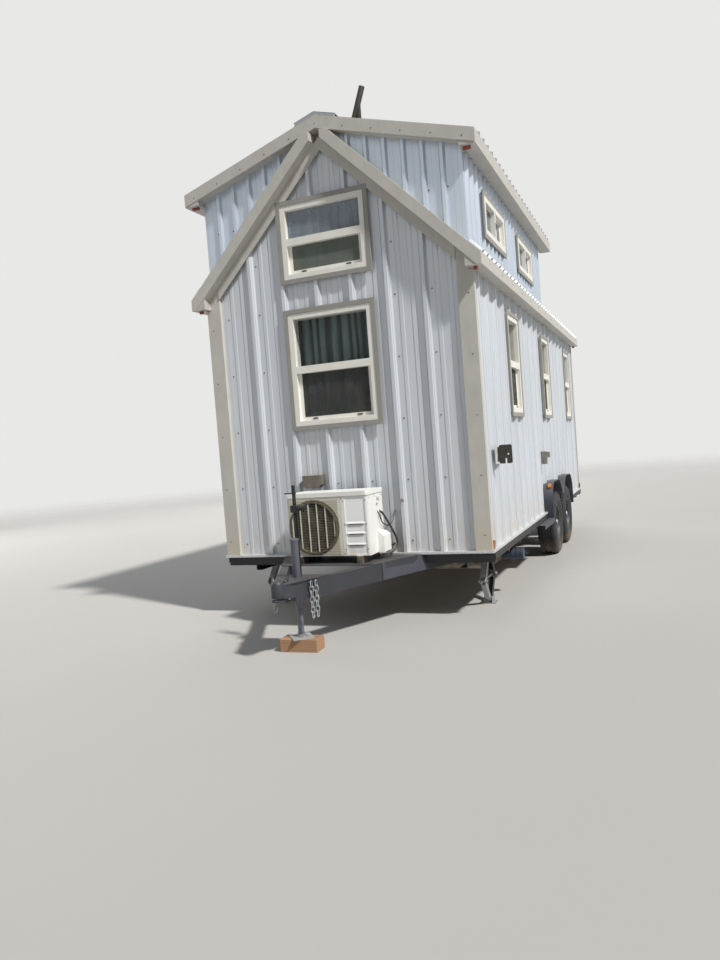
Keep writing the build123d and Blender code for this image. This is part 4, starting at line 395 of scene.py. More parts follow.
def window_glass(colour):
    """Panes: see-through, with a dusty film and smears, and a painted pale reflection on the upper
    floor.
    """
    f = Finish("glass", colour)
    film = f.noise(6.0, 5.0, (1.0, 1.0, 0.45))
    smears = f.noise(38.0, 3.0, (1.0, 1.0, 0.25)).ramp(0.5, 0.78)
    loft = f.z.ramp(BASE_Z + 2.10, BASE_Z + 2.80)
    f.lay(film.ramp(0.4, 0.8) * 0.4, 2.6)
    # Painted reflection: the upper floor's panes pale and more opaque
    f.lay(loft * 0.9, rgb(158, 172, 184))
    opacity = (0.10 + film * 0.10 + smears * 0.06 + loft * 0.34).held()
    return f.paint(0.03 + smears * 0.1, None, {"Alpha": opacity, "IOR": 1.5})


def insect_screen():
    """Dark mesh before the lower sashes, with a painted paler reflection on the upper floor."""
    f = Finish("insect_screen", rgb(58, 61, 60))
    wires = f.bands(330.0, "Z").math("MAXIMUM", f.bands(330.0, "Y"))
    dust = f.noise(12.0, 4.0)
    f.lay(dust.ramp(0.4, 0.8) * 0.5, rgb(104, 104, 96))
    # Painted reflection: the screens paler on the upper floor
    f.lay((f.z > BASE_Z + 2.0) * (0.5 + dust * 0.5), rgb(128, 138, 128))
    return f.paint(0.7, None, {"Alpha": (0.38 + wires * 0.3 + dust * 0.1).held()})


def curtain_cloth(name, colour):
    """Woven cloth with painted shade in its deep folds, its weave from the curtain's own map."""
    threads = 2600.0
    f = Finish(name, colour, 0.82)
    u, v, _ = f.parts(f.node("ShaderNodeUVMap", uv_map="cloth"))
    weave = ((u * threads).math("SINE") * (v * threads).math("SINE")).size()
    fold = f.node("ShaderNodeAttribute", (), "Fac", attribute_name="fold")
    f.lay(f.noise(30.0, 4.0, (1.0, 1.0, 0.15)).ramp(0.3, 0.75), 1.12)
    # Painted shade in the folds that lie back from the glass
    f.lay(fold.below(0.1, 0.75), 0.12)
    f.lay(weave * 0.25, 0.7)
    sheen = {"Sheen Weight": 0.2, "Sheen Roughness": 0.5}
    return f.paint(0.85, f.bump(weave, 0.0003, 0.5), sheen)


def trailer_paint(name, colour, wear=0.5, chalk_under=None):
    """Painted steel: dust on top faces, chips down to rust, orange peel."""
    f = Finish(name, colour, 0.86)
    patches = f.noise(4.0, 4.0)
    chips = f.noise(22.0, 6.0, rough=0.75).ramp(0.63, 0.68) * wear
    dust = f.facing(2).ramp(0.4, 0.95) * (0.1 + patches * 0.5)
    f.lay(patches.ramp(0.3, 0.75), 1.12)
    f.lay(dust * 0.5, GREY_DUST)
    f.lay(chips * 0.6, RUST)
    if chalk_under is not None:
        f.lay(f.z.below(*chalk_under) * (0.55 + patches * 0.6), rgb(214, 212, 206))
    bumps = f.bump(f.noise(240.0, 2.0), 0.0002, 0.3, f.bump(chips, 0.0008, 0.4))
    rough = 0.38 + patches * 0.2 + dust * 0.3 + chips * 0.3
    return f.paint(rough, bumps, {"Metallic": 0.1})


def zinc_coat(name, colour, dull=0.0):
    """Galvanised steel with its spangle and white bloom."""
    f = Finish(name, colour, 0.8)
    bloom = f.noise(14.0, 5.0)
    f.lay(f.cells(70.0).ramp(0.1, 0.9), 1.12)
    f.lay(bloom.ramp(0.5, 0.75) * (0.4 + dull * 0.4), rgb(206, 206, 200))
    f.lay(f.noise(30.0, 6.0, rough=0.75).ramp(0.66, 0.72) * 0.6, RUST)
    bumps = f.bump(bloom, 0.0006, 0.3)
    return f.paint(0.36 + bloom * 0.25, bumps, {"Metallic": 0.65 - dull * 0.4})


def tyre_rubber(colour):
    """Rubber: greyed, dusty at the foot, with a fine moulded grain."""
    f = Finish("tyre_rubber", colour, 0.75)
    greys = f.noise(11.0, 5.0)
    f.lay(greys.ramp(0.3, 0.75), 1.5)
    f.lay(f.z.below(0.0, 0.22) * greys * 0.8, shade(DUST, 0.6))
    return f.paint(0.72 + greys * 0.2, f.bump(f.noise(320.0, 2.0), 0.0003, 0.4))


def sawn_wood(colour):
    """Sawn block: grain along its length, saw marks and a dry check or two."""
    f = Finish("sawn_wood", colour, 0.72)
    fibres = f.noise(60.0, 5.0, (0.08, 1.0, 1.0))
    f.lay(f.bands(9.0, "Z", 6.0, (0.25, 3.0, 3.0)), 1.1)
    f.lay(fibres.ramp(0.3, 0.75) * 0.5, 0.8)
    f.lay(f.noise(16.0, 3.0, (0.1, 2.0, 2.0)).ramp(0.68, 0.72) * 0.6, 0.35)
    bumps = f.bump(f.bands(60.0, "X", 1.5), 0.0006, 0.25, f.bump(fibres, 0.001, 0.4))
    return f.paint(0.7 + fibres * 0.2, bumps)


def lining(colour):
    """Boards and plywood of the floor and walls, in view only through the glass."""
    f = Finish("lining", colour, 0.82)
    grain = f.bands(5.0, "Z", 5.0, (0.6, 0.6, 3.0))
    boards = f.noise(3.0, 4.0, (1.0, 1.0, 5.0))
    f.lay(grain * 0.6, 1.06)
    f.lay(boards.ramp(0.3, 0.75) * 0.5, 0.72)
    return f.paint(0.62 + boards * 0.2, f.bump(grain, 0.001, 0.3))


def roof_boards(colour, trim):
    """Roof decks: boards inside the house, painted soffits outside its walls."""
    f = Finish("roof_boards", colour, 0.82)
    chalk = f.noise(7.0, 4.0)
    f.lay(f.bands(5.0, "Z", 5.0, (0.6, 0.6, 3.0)) * 0.6, 1.06)
    painted = f.mix(chalk.ramp(0.3, 0.75), shade(trim, 0.9), shade(trim, 1.03))
    painted = f.mix(f.bands(3.3, "Y").ramp(0.985, 0.999) * 0.5, painted, shade(trim, 0.5))
    eaves = f.x.size() > HALF - 0.02
    f.lay(eaves + (f.y < FRONT_Y + 0.02) + (f.y > BACK_Y - 0.02), painted)
    return f.paint(0.45 + chalk * 0.2, f.bump(chalk, 0.001, 0.2))


def unit_case(white, aged, panel):
    """Outdoor unit: white case, yellowed fan surround, grey louvred panel, and painted shade in the fan
    well over its coil, round the bore's rim and under the case.
    """
    f = Finish("unit_case", white)
    film = f.noise(9.0, 4.0, (1.0, 1.0, 0.5))
    fins = f.bands(70.0, "Z")
    reach = f.from_fan()
    face = f.y.below(UNIT_LOW.y + 0.002, UNIT_LOW.y + 0.006)
    front = face * (f.z < UNIT_LOW.z + 0.452)
    left = front * (f.x < 0.128)
    right = (f.y < UNIT_LOW.y + 0.0075) * (f.x > 0.164) * (f.x < 0.3262)
    well = (reach < FAN_R) * (f.y > FAN_AT.y + 0.003)
    bore_rim_shade = (reach > FAN_R) * (reach < FAN_RING) * front
    step_shade_line = ((f.x - 0.131).size() < 0.0016) * front
    lid = ((f.z - (UNIT_LOW.z + 0.455)).size() < 0.0016) * (1.0 - well)
    grime = f.z.below(UNIT_LOW.z, UNIT_LOW.z + 0.12) * film.ramp(0.4, 0.8)
    f.lay(film.ramp(0.35, 0.8) * 0.4, 0.86)
    f.lay(left * (0.55 + film * 0.6), aged)
    f.lay(right * (f.z < UNIT_LOW.z + 0.454), panel)
    # Painted shade in the fan's bore, over the coil's fins
    f.lay(well, f.mix(fins, rgb(40, 40, 37), rgb(96, 93, 80)))
    # Painted shade round the bore's rim
    f.lay(bore_rim_shade, f.mix(fins, rgb(62, 60, 51), rgb(126, 121, 100)))
    # Painted shade under the case, on its feet
    f.lay(f.z < UNIT_LOW.z - 0.0005, rgb(44, 45, 48))
    # Painted shade along the fan surround's step, and the dark joint under the lid
    f.lay((step_shade_line + lid).held() * 0.6, JOINT_AND_SHADE_LINE)
    f.lay(grime * 0.7, DUST)
    f.lay(f.noise(50.0, 4.0, rough=0.7).ramp(0.66, 0.72) * left * 0.5, RUST)
    return f.paint(0.36 + film * 0.2, f.bump(f.noise(300.0, 2.0), 0.0002, 0.25))


def fan_guard(colour):
    """Bars over the fan: yellowed plastic, with painted shade on the ring behind them."""
    f = Finish("fan_guard", colour, 0.70)
    film = f.noise(16.0, 4.0)
    f.lay(film.ramp(0.3, 0.75), 0.88)
    # Painted shade on the guard's ring
    f.lay(f.from_fan() > FAN_R - 0.002, f.mix(film, rgb(66, 64, 54), rgb(112, 106, 88)))
    return f.paint(0.42 + film * 0.25, f.bump(film, 0.0004, 0.3))


def moulded(name, colour, dusty=0.3):
    """Moulded plastic: fine texture, dust on top."""
    f = Finish(name, colour, 0.82)
    film = f.noise(16.0, 4.0)
    f.lay(film.ramp(0.3, 0.75), 1.15)
    f.lay(f.facing(2).ramp(0.3, 0.9) * dusty + film * 0.1, DUST)
    return f.paint(0.42 + film * 0.25, f.bump(f.noise(420.0, 2.0), 0.0002, 0.4))


def lamp_lens():
    """Red lenses under the roof and at the rear, amber ones low down, ribbed inside."""
    f = Finish("lamp_lens", rgb(142, 34, 22))
    ribs = f.bands(160.0, "Y")
    film = f.noise(30.0, 3.0)
    f.lay((f.z < BASE_Z + 1.0) * (f.y < BACK_Y - 0.3), rgb(206, 122, 30))
    f.lay(ribs * 0.4, shade(rgb(120, 60, 30), 0.6))
    f.lay(film.ramp(0.45, 0.8) * 0.35, DUST)
    return f.paint(0.18 + film * 0.2, f.bump(ribs, 0.0008, 0.5), {"Coat Weight": 0.3})


def drain_pipe():
    """Cream pipe, tan fitting and the dark end of the hose."""
    f = Finish("drain_pipe", rgb(206, 198, 178))
    film = f.noise(20.0, 4.0)
    f.lay(film.ramp(0.35, 0.8) * 0.5, rgb(156, 144, 120))
    f.lay(f.x > 0.90, f.mix(film, rgb(150, 116, 78), rgb(120, 90, 60)))
    f.lay(f.x > 1.035, f.mix(film, rgb(42, 52, 66), rgb(66, 78, 94)))
    return f.paint(0.45 + film * 0.3, f.bump(film, 0.001, 0.3))


def painted_door(colour):
    """Door leaf and frame: brushed paint with dust at the foot."""
    f = Finish("door_paint", colour)
    film = f.noise(5.0, 4.0)
    f.lay(film.ramp(0.35, 0.8) * 0.5, 0.88)
    f.lay(f.z.below(BASE_Z + 0.12, BASE_Z + 0.45) * film * 0.8, DUST)
    brush = f.noise(30.0, 4.0, (1.0, 1.0, 0.1))
    return f.paint(0.4 + film * 0.2, f.bump(brush, 0.0005, 0.3))


# Modelling


def deselect():
    if bpy.context.mode != "OBJECT":
        leave()
    bpy.ops.object.select_all(action="DESELECT")


def take(obj):
    deselect()
    obj.select_set(True)
    bpy.context.view_layer.objects.active = obj


def edit(obj, everything=True):
    take(obj)
    bpy.ops.object.mode_set(mode="EDIT")
    bpy.ops.mesh.select_mode(type="FACE")
    bpy.ops.mesh.select_all(action="SELECT" if everything else "DESELECT")


def edit_faces(obj, wanted):
    """Goes into edit mode with only the faces that are wanted by their centre and normal."""
    edit(obj, everything=False)
    leave()
    for face in obj.data.polygons:
        face.select = bool(wanted(face.center, face.normal))
    bpy.ops.object.mode_set(mode="EDIT")


def leave():
    bpy.ops.object.mode_set(mode="OBJECT")


def settled():
    """The newest object, with its place, turn and scale put into its mesh."""
    made = bpy.context.active_object
    take(made)
    bpy.ops.object.transform_apply(location=True, rotation=True, scale=True)
    return made


def join(parts):
    take(parts[0])
    for part in parts:
        part.select_set(True)
    if len(parts) > 1:
        bpy.ops.object.join()
    return bpy.context.view_layer.objects.active


def facing(point, normal):
    """A place at the point, with +Z along the normal."""
    return Matrix.Translation(point) @ normal.to_track_quat("Z", "Y").to_matrix().to_4x4()


def paint(obj, material):
    obj.data.materials.clear()
    obj.data.materials.append(material)
    return obj


def piece(parts, finish, name, body="house"):
    """Joins the parts into one finished piece on its body; without a finish they keep theirs."""
    made = join(parts)
    if finish:
        paint(made, FINISHES[finish])
    made.name = made.data.name = name
    take(made)
    bpy.ops.object.shade_smooth_by_angle(angle=math.radians(38))
    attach(made, body)
    return made


def block(low, high, soft=0.001, segments=2):
    """Box between two corners with softened edges."""
    low, high = Vector(low), Vector(high)
    deselect()
    bpy.ops.mesh.primitive_cube_add(size=1.0, location=(low + high) / 2)
    bpy.context.active_object.scale = high - low
    made = settled()
    edit(made)
    bpy.ops.mesh.bevel(offset=soft, segments=segments, affect="EDGES")
    leave()
    return made


def rod(start, run, radius, sides=16, soft=0.0008):
    """Round bar from a point, as long as the run, with softened ends."""
    start, run = Vector(start), Vector(run)
    deselect()
    bpy.ops.mesh.primitive_cylinder_add(
        vertices=sides, radius=radius, depth=run.length, location=start + run / 2,
        rotation=run.to_track_quat("Z", "Y").to_euler(),
    )
    made = settled()
    along = run.normalized()
    edit_faces(made, lambda centre, normal: abs(normal.dot(along)) > 0.9)
    bpy.ops.mesh.bevel(offset=min(soft, radius * 0.4), segments=1, affect="EDGES")
    leave()
    return made


def draw_line(points):
    """Edges from point to point, left in edit mode with all of them selected."""
    deselect()
    bpy.ops.mesh.primitive_plane_add(size=0.002, location=points[0])
    made = settled()
    edit(made)
    bpy.ops.mesh.merge(type="CENTER")
    bpy.ops.mesh.select_mode(type="VERT")
    bpy.ops.mesh.select_all(action="SELECT")
    for first, second in zip(points, points[1:]):
        bpy.ops.mesh.extrude_region_move(TRANSFORM_OT_translate={"value": second - first})
    bpy.ops.mesh.select_all(action="SELECT")
    return made


def lathe(outline, origin, axis, across, steps=32):
    """Turns an outline of (along the axis, out from it) points round the axis."""
    origin = Vector(origin)
    made = draw_line([origin + axis * along + across * out for along, out in outline])
    bpy.ops.mesh.spin(steps=steps, angle=math.tau, center=origin, axis=axis)
    bpy.ops.mesh.select_all(action="SELECT")
    bpy.ops.mesh.remove_doubles(threshold=0.00001)
    bpy.ops.mesh.normals_make_consistent(inside=False)
    leave()
    return made


def plate(corners, thick, soft=0.001):
    """Flat plate from the corners of one face, as thick as the vector."""
    made = draw_line(corners)
    bpy.ops.mesh.edge_face_add()
    bpy.ops.mesh.extrude_region_move(TRANSFORM_OT_translate={"value": thick})
    bpy.ops.mesh.select_all(action="SELECT")
    bpy.ops.mesh.normals_make_consistent(inside=False)
    bpy.ops.mesh.bevel(offset=soft, segments=1, affect="EDGES")
    leave()
    return made


def smooth_route(points, steps=6):
    """Points of a smooth line through the given ones."""
    knots = [Vector(point) for point in points]
    knots = [knots[0] * 2 - knots[1], *knots, knots[-1] * 2 - knots[-2]]
    route = []
    for a, b, c, d in zip(knots, knots[1:], knots[2:], knots[3:]):
        for t in (step / steps for step in range(steps)):
            bend = (a * 2 - b * 5 + c * 4 - d) * t ** 2 + (b * 3 - a - c * 3 + d) * t ** 3
            route.append(b + ((c - a) * t + bend) / 2)
    return [*route, knots[-2]]


def hose(points, radius):
    """Round pipe along a smooth route through the points."""
    route = smooth_route(points)
    deselect()
    bpy.ops.curve.primitive_bezier_curve_add()
    line = bpy.context.active_object
    line.data.splines.clear()
    spline = line.data.splines.new("POLY")
    spline.points.add(len(route) - 1)
    for point, place in zip(spline.points, route):
        point.co = (*place, 1.0)
    line.data.bevel_depth = radius
    line.data.bevel_resolution = 2
    line.data.use_fill_caps = True
    take(line)
    bpy.ops.object.convert(target="MESH")
    return settled()


def copies(master, places):
    """The master repeated at the places, each copy with its own mesh, as one object."""
    parts = []
    for place in places:
        part = master.copy()
        part.data = master.data.copy()
        part.data.transform(place)
        bpy.context.collection.objects.link(part)
        parts.append(part)
    bpy.data.objects.remove(master)
    return join(parts)


def drive(places, name, finish, radius, head, sides=10, head_share=0.55):
    """One piece of fasteners, each a washer with a head on it that stands up from its place."""
    if not places:
        raise RuntimeError(f"no place was found for {name}")
    washer = radius * 0.22
    deselect()
    bpy.ops.mesh.primitive_cylinder_add(
        vertices=sides, radius=radius, depth=washer, location=(0, 0, washer / 2)
    )
    made = settled()
    edit_faces(made, lambda centre, normal: normal.z > 0.9)
    bpy.ops.mesh.inset(thickness=radius * (1 - head_share), depth=radius * 0.06)
    bpy.ops.mesh.extrude_region_move(TRANSFORM_OT_translate={"value": (0, 0, head)})
    bpy.ops.mesh.inset(thickness=radius * 0.12, depth=0.0)
    leave()
    piece([copies(made, places)], finish, name)


def solids(node):
    """The corners of each solid in a node of the frame."""
    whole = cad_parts[node].copy()
    whole.data = whole.data.copy()
    bpy.context.collection.objects.link(whole)
    edit(whole)
    bpy.ops.mesh.remove_doubles(threshold=0.00001)
    bpy.ops.mesh.separate(type="LOOSE")
    leave()
    found = []
    for part in list(bpy.context.selected_objects):
        found.append(np.array([tuple(vertex.co) for vertex in part.data.vertices]))
        bpy.data.objects.remove(part)
    return found


def landing(origin, direction, node, reach=1.0):
    """Where a line first meets the scene, if that is on the node and square to the line."""
    direction = Vector(direction).normalized()
    graph = bpy.context.evaluated_depsgraph_get()
    struck, place, normal, _, thing, _ = bpy.context.scene.ray_cast(
        graph, Vector(origin), direction, distance=reach
    )
    if not struck or thing.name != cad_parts[node].name or normal.dot(direction) > -0.97:
        return None
    return place, normal


def landings(origins, direction, node, reach=1.0):
    found = [landing(origin, direction, node, reach) for origin in origins]
    return [facing(place, normal) for place, normal in filter(None, found)]


OUTWARD = {"front": -REARWARD, "rear": REARWARD, "right": RIGHT, "left": -RIGHT}


def on_wall(side, along, up, out=0.0):
    """A point on a wall: along it, above the siding's foot and out from the flat of its sheet."""
    if side in ("front", "rear"):
        face = FRONT_Y if side == "front" else BACK_Y
        return Vector((along, face, BASE_Z + up)) + OUTWARD[side] * out
    return Vector((0, FRONT_Y + along, BASE_Z + up)) + OUTWARD[side] * (HALF + out)


def wall_box(side, along, up, out):
    """Lowest and highest corners of a box on a wall, from its ranges along, up and out."""
    corners = [on_wall(side, a, u, o) for a in along for u in up for o in out]
    return [Vector(end(c[i] for c in corners) for i in range(3)) for end in (min, max)]


def wall_landings(side, alongs, ups, node):
    """Places on a node of a wall, at each distance along it and height above its foot."""
    origins = [on_wall(side, along, up, 0.2) for along in alongs for up in ups]
    return landings(origins, -OUTWARD[side], node, 0.3)


# Pieces


def finishes(colours):
    """Every finish of the house by its name."""
    slate, zinc = colours.slate, colours.zinc
    return {
        "siding": sheet_metal("siding", colours.siding, 0.18, 0.44),
        "dormer": sheet_metal("dormer_cladding", colours.dormer, 0.45, 0.36),
        "roofing": sheet_metal("roofing", colours.roofing, 0.35, 0.42),
        "trim": folded_trim("trim", colours.trim),
        # Casings: the trim's colour darkened as painted shade
        "casing": folded_trim("casing", shade(colours.trim, 0.56)),
        "vinyl": vinyl(colours.vinyl),
        "glass": window_glass(colours.glass),
        "screen": insect_screen(),
        "lining": lining(colours.timber),
        "roof_boards": roof_boards(colours.timber, colours.trim),
        "black": trailer_paint("black_paint", rgb(30, 31, 34), 0.25),
        # The tongue's paint: the trailer's slate darkened as painted shade
        "tongue": trailer_paint("tongue_paint_painted_shade", shade(slate, 0.7), 0.6),
        "plate": trailer_paint("plate_paint", shade(slate, 1.15), 0.6),
        # The jack's paint: the trailer's slate lightened as painted light
        "jack": trailer_paint("jack_paint_painted_light", shade(slate, 2.2), 0.3),
        "fender": trailer_paint("fender_paint", rgb(56, 60, 70), 0.3),
        "foot": trailer_paint("foot_paint", shade(slate, 2.6), 0.5, (0.06, 0.14)),
        "rim": trailer_paint("rim_paint", colours.rim, 0.6),
        "zinc": zinc_coat("zinc", zinc),
        "worn_zinc": zinc_coat("worn_zinc", zinc, 0.8),
        "screw": zinc_coat("screw_metal", rgb(120, 118, 112), 0.3),
        "dark_screw": zinc_coat("dark_screw", rgb(70, 66, 60), 0.2),
        "rubber": tyre_rubber(colours.rubber),
        "wood": sawn_wood(colours.wood),
        "unit": unit_case(colours.unit, colours.unit_aged, colours.unit_panel),
        "guard": fan_guard(colours.unit_aged),
        "dark_wire": moulded("dark_wire", rgb(146, 140, 118), 0.1),
        "white_plastic": moulded("white_plastic", rgb(232, 232, 226)),
        "brown_plastic": moulded("brown_plastic", rgb(104, 99, 91), 0.5),
        "grey_plastic": moulded("grey_plastic", rgb(128, 126, 122)),
        "black_plastic": moulded("black_plastic", rgb(26, 27, 29), 0.25),
        "jet": moulded("jet_plastic", rgb(14, 14, 15), 0.03),
        "lamp": lamp_lens(),
        "drain": drain_pipe(),
        "door": painted_door(colours.door),
        "lounge": curtain_cloth("lounge_curtain", colours.lounge_curtain),
        "loft": curtain_cloth("loft_curtain", colours.loft_curtain),
        "side": curtain_cloth("side_curtain", colours.side_curtain),
    }


FINISHES = {}

# Frame parts by their finish and the width of their softened edges
DRESS = {
    ("lining", 0.0): "floor_deck front_wall rear_wall right_wall left_wall",
    ("dormer", 0.0): "dormer_back_wall dormer_siding",
    ("roof_boards", 0.0): "right_roof left_roof dormer_roof",
    ("siding", 0.0): "wall_siding base_flashing",
    ("roofing", 0.0): "roofing ridge_caps",
    ("trim", 0.003): "gable_rakes roof_trims dormer_trims",
    ("trim", 0.001): "corner_trims friezes",
    ("vinyl", 0.002): "window_frames",
    ("glass", 0.0): "window_panes",
    ("casing", 0.0015): "window_casings",
    ("lounge", 0.0): "curtains",
    ("door", 0.003): "entry_door",
    ("black", 0.004): "main_rails",
    ("black", 0.003): "cross_members",
    ("black", 0.002): "rub_rails axles stabiliser_heads",
    ("black", 0.0015): "stabiliser_rear_upper_arms stabiliser_rear_lower_arms",
    ("black", 0.001): "plug_post",
    ("tongue", 0.005): "tongue_rails",
    ("tongue", 0.003): "coupler",
    ("tongue", 0.002): "tongue_deck",
    ("fender", 0.002): "fenders",
    ("rubber", 0.0): "front_right_wheel front_left_wheel rear_right_wheel rear_left_wheel",
    ("worn_zinc", 0.0015): "stabiliser_front_upper_arms stabiliser_front_lower_arms",
    ("worn_zinc", 0.001): "stabiliser_feet",
    ("zinc", 0.001): "stabiliser_nuts",
    ("zinc", 0.0): "stabiliser_screws safety_chains",
    ("jack", 0.001): "jack_tube",
    ("foot", 0.001): "jack_leg",
    ("wood", 0.004): "jack_block",
    ("unit", 0.003): "ac_case",
    ("guard", 0.001): "ac_guard",
    ("black_plastic", 0.0): "ac_fan ac_lines",
    ("black_plastic", 0.002): "inlet_lid",
    ("brown_plastic", 0.003): "junction_box",
    ("white_plastic", 0.003): "inlet_hatch",
    ("grey_plastic", 0.003): "outlet_box",
    ("lamp", 0.001): "marker_lights",
    ("jet", 0.001): "roof_mast",
    ("drain", 0.0): "waste_pipe",
}


def dress(part, material, soft):
    """Gives a part of the frame its finish and softens its edges."""
    if not part.material_slots:
        part.data.materials.append(material)
    for slot in part.material_slots:
        slot.material = material
    if soft:
        part.modifiers.new("seams", "WELD").merge_threshold = 0.00002
        bevel = part.modifiers.new("soft_edges", "BEVEL")
        bevel.width = soft
        bevel.segments = 2
        bevel.limit_method = "ANGLE"
        bevel.angle_limit = math.radians(40)


def dress_frame():
    """Dresses every part of the frame."""
    for (finish, soft), names in DRESS.items():
        for name in names.split():
            dress(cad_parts[name], FINISHES[finish], soft)


def make_curtain(name, corners, cloth, pleat, seed):
    """One gathered curtain inside the space that its solid holds, and its rail."""
    low, high = Vector(corners.min(axis=0)), Vector(corners.max(axis=0))
    size, middle = high - low, (low + high) / 2
    across, deep = (0, 1) if size.x > size.y else (1, 0)
    width, height, depth = size[across], size.z, size[deep]
    deselect()
    columns = int(width / pleat * 14)
    bpy.ops.mesh.primitive_grid_add(x_subdivisions=columns, y_subdivisions=28, size=1.0)
    made = bpy.context.active_object
    layer = made.data.uv_layers[0]
    layer.name = "cloth"
    for loop in made.data.loops:
        corner = made.data.vertices[loop.vertex_index].co
        layer.data[loop.index].uv = ((corner.x + 0.5) * width * 1.3, (corner.y + 0.5) * height)
    sway = np.random.default_rng(seed).uniform(-1, 1, 8)
    outward = 1.0 if middle[deep] > 0 else -1.0
    folds = made.data.attributes.new("fold", "FLOAT", "POINT")
    for vertex in made.data.vertices:
        share, up = vertex.co.x + 0.5, vertex.co.y + 0.5
        wander = 0.0
        for i in range(4):
            turn = math.tau * share * (0.7 + i) + 6.0 * sway[i + 4] + 0.8 * up
            wander += sway[i] * math.sin(turn)
        phase = math.tau * share * width / pleat + 1.5 * wander
        fold = math.sin(phase) + 0.24 * math.sin(2.3 * phase + 1.1)
        swell = depth * (0.24 + 0.10 * (1 - up)) * (0.8 + 0.2 * math.sin(wander * 2.0))
        vertex.co[across] = low[across] + share * width
        vertex.co[deep] = middle[deep] + fold * swell
        vertex.co.z = low.z + up * height * 0.995
        # How far the point stands out toward the glass, which sets the painted shade in the folds
        folds.data[vertex.index].value = 0.5 + 0.42 * fold * outward
    made.data.update()
    piece([made], cloth, name)
    bpy.ops.object.shade_smooth()
    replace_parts(made, "curtains")
    end, run = Vector((0, 0, high.z - 0.004)), Vector((0, 0, 0))
    end[across], end[deep] = low[across] + 0.004, middle[deep]
    run[across] = width - 0.008
    rail = piece([rod(end, run, 0.0035, 10)], "zinc", f"{name}_rail")


def make_curtains(sizes):
    """Nine pleated curtains, one behind each opening window, on thin rails."""
    for index, corners in enumerate(solids("curtains")):
        x, y, z = corners.mean(axis=0)
        if abs(x) < 0.3:
            cloth = "loft" if z > 2.6 else "lounge"
            name = f"curtain_{cloth}_{'front' if y < 0 else 'rear'}"
        else:
            cloth = "side"
            name = f"curtain_{'right' if x > 0 else 'left'}_{int((y - FRONT_Y) / 1.9) + 1}"
        make_curtain(name, corners, cloth, sizes.pleat, index + 7)


SIDING_HEAD = 0.0035


def make_siding_screws(sizes):
    """Screws beside the major ribs of the four walls."""
    beside = 0.055
    rows = [0.09 + row * (1.95 / (sizes.screw_rows - 1)) for row in range(sizes.screw_rows)]
    places = []
    for side in ("front", "rear"):
        alongs = [FIRST_RIB_X + rib * MAJOR_PITCH + beside for rib in range(-1, 7)]
        places += wall_landings(side, alongs, rows + [2.45, 2.85], "wall_siding")
    for side in ("right", "left"):
        alongs = [FIRST_RIB_ALONG + rib * MAJOR_PITCH + beside for rib in range(20)]
        places += wall_landings(side, alongs, rows, "wall_siding")
    drive(places, "siding_screws", "screw", sizes.screw, SIDING_HEAD)


def make_dormer_screws(sizes):
    """Screws through the cladding of the dormer, on its side and end walls."""
    alongs = [0.0762 + MAJOR_PITCH * rib + 0.066 for rib in range(12)]
    places = wall_landings("right", alongs, (2.42, 2.92), "dormer_siding")
    places += wall_landings("left", alongs, (2.42, 2.92), "dormer_siding")
    places += wall_landings("front", (-1.02, -0.87, 0.87, 1.02), (2.78,), "dormer_siding")
    drive(places, "dormer_screws", "screw", sizes.screw, SIDING_HEAD)


def make_roof_screws(sizes):
    """Screws along the ribs of the roofs, square to their slopes."""
    # Each roof: rise of its slope, fall of the screws' line, its top, distances from the ridge
    roofs = ((1.0, 1.0, 4.02, (0.30, 0.72, 1.14)), (DORMER_SLOPE, DORMER_FALL, 4.06, (0.28, 0.70, 1.12)))
    places = []
    for side in (-1, 1):
        for rib in range(44):
            y = FRONT_Y + FIRST_RIB_ALONG + (rib - 1) * ROOF_PITCH
            for rise, fall, top, downs in roofs:
                square = Vector((-side * rise, 0, -1)).normalized()
                starts = [Vector((side * down, y, top - down * fall)) - square * 0.3 for down in downs]
                places += landings(starts, square, "roofing", 0.5)
    drive(places, "roof_screws", "screw", sizes.screw, SIDING_HEAD)


def make_trim_nails(sizes):
    """Nails in the fascias, rakes and corner covers."""
    places = []
    for share in range(-5, 6):
        x = share * 0.235
        for node, top, fall in (("dormer_trims", 4.00, DORMER_FALL), ("roof_trims", 3.90, 1.0)):
            tops = [top - abs(x) * fall - drop for drop in (0.02, 0.07, 0.12)]
            places += landings([(x, FRONT_Y - 0.6, z) for z in tops], REARWARD, node)[:1]
    eave_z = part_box("roof_trims")[0].z + 0.05
    for side in (-1, 1):
        for row in range(5):
            z = BASE_Z + 0.12 + row * 0.46
            for y, inward in ((FRONT_Y - 0.3, REARWARD), (BACK_Y + 0.3, -REARWARD)):
                places += landings([(side * 1.13, y, z)], inward, "corner_trims", 0.5)
        starts = [(side * 1.5, FRONT_Y + 0.15 + row * 0.47, eave_z) for row in range(13)]
        places += landings(starts, RIGHT * -side, "roof_trims", 0.5)
    drive(places, "trim_nails", "dark_screw", sizes.screw * 0.7, 0.0018, 8, 0.6)


def make_ridge_closures():
    """Strips that close both roofs' ridge caps at their open ends."""
    low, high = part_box("ridge_caps")
    # Each end: place, thickness, apex, slope, half width, depth
    ends = (
        (low.y + 0.001, 0.010, high.z, DORMER_SLOPE, 0.176, 0.0270),
        (high.y - 0.001, -0.010, MAIN_RIDGE_Z + 0.0398, 1.0, 0.122, 0.0365),
    )
    under = 0.0034
    strips = []
    for y, thick, apex, slope, half, deep in ends:
        corners = []
        for drop, xs in ((under, (-half, 0.0, half)), (deep + under, (half, 0.0, -half))):
            corners += [Vector((x, y, apex - drop - abs(x) * slope)) for x in xs]
        strips.append(plate(corners, REARWARD * thick, 0.0008))
    piece(strips, "roofing", "ridge_closures")


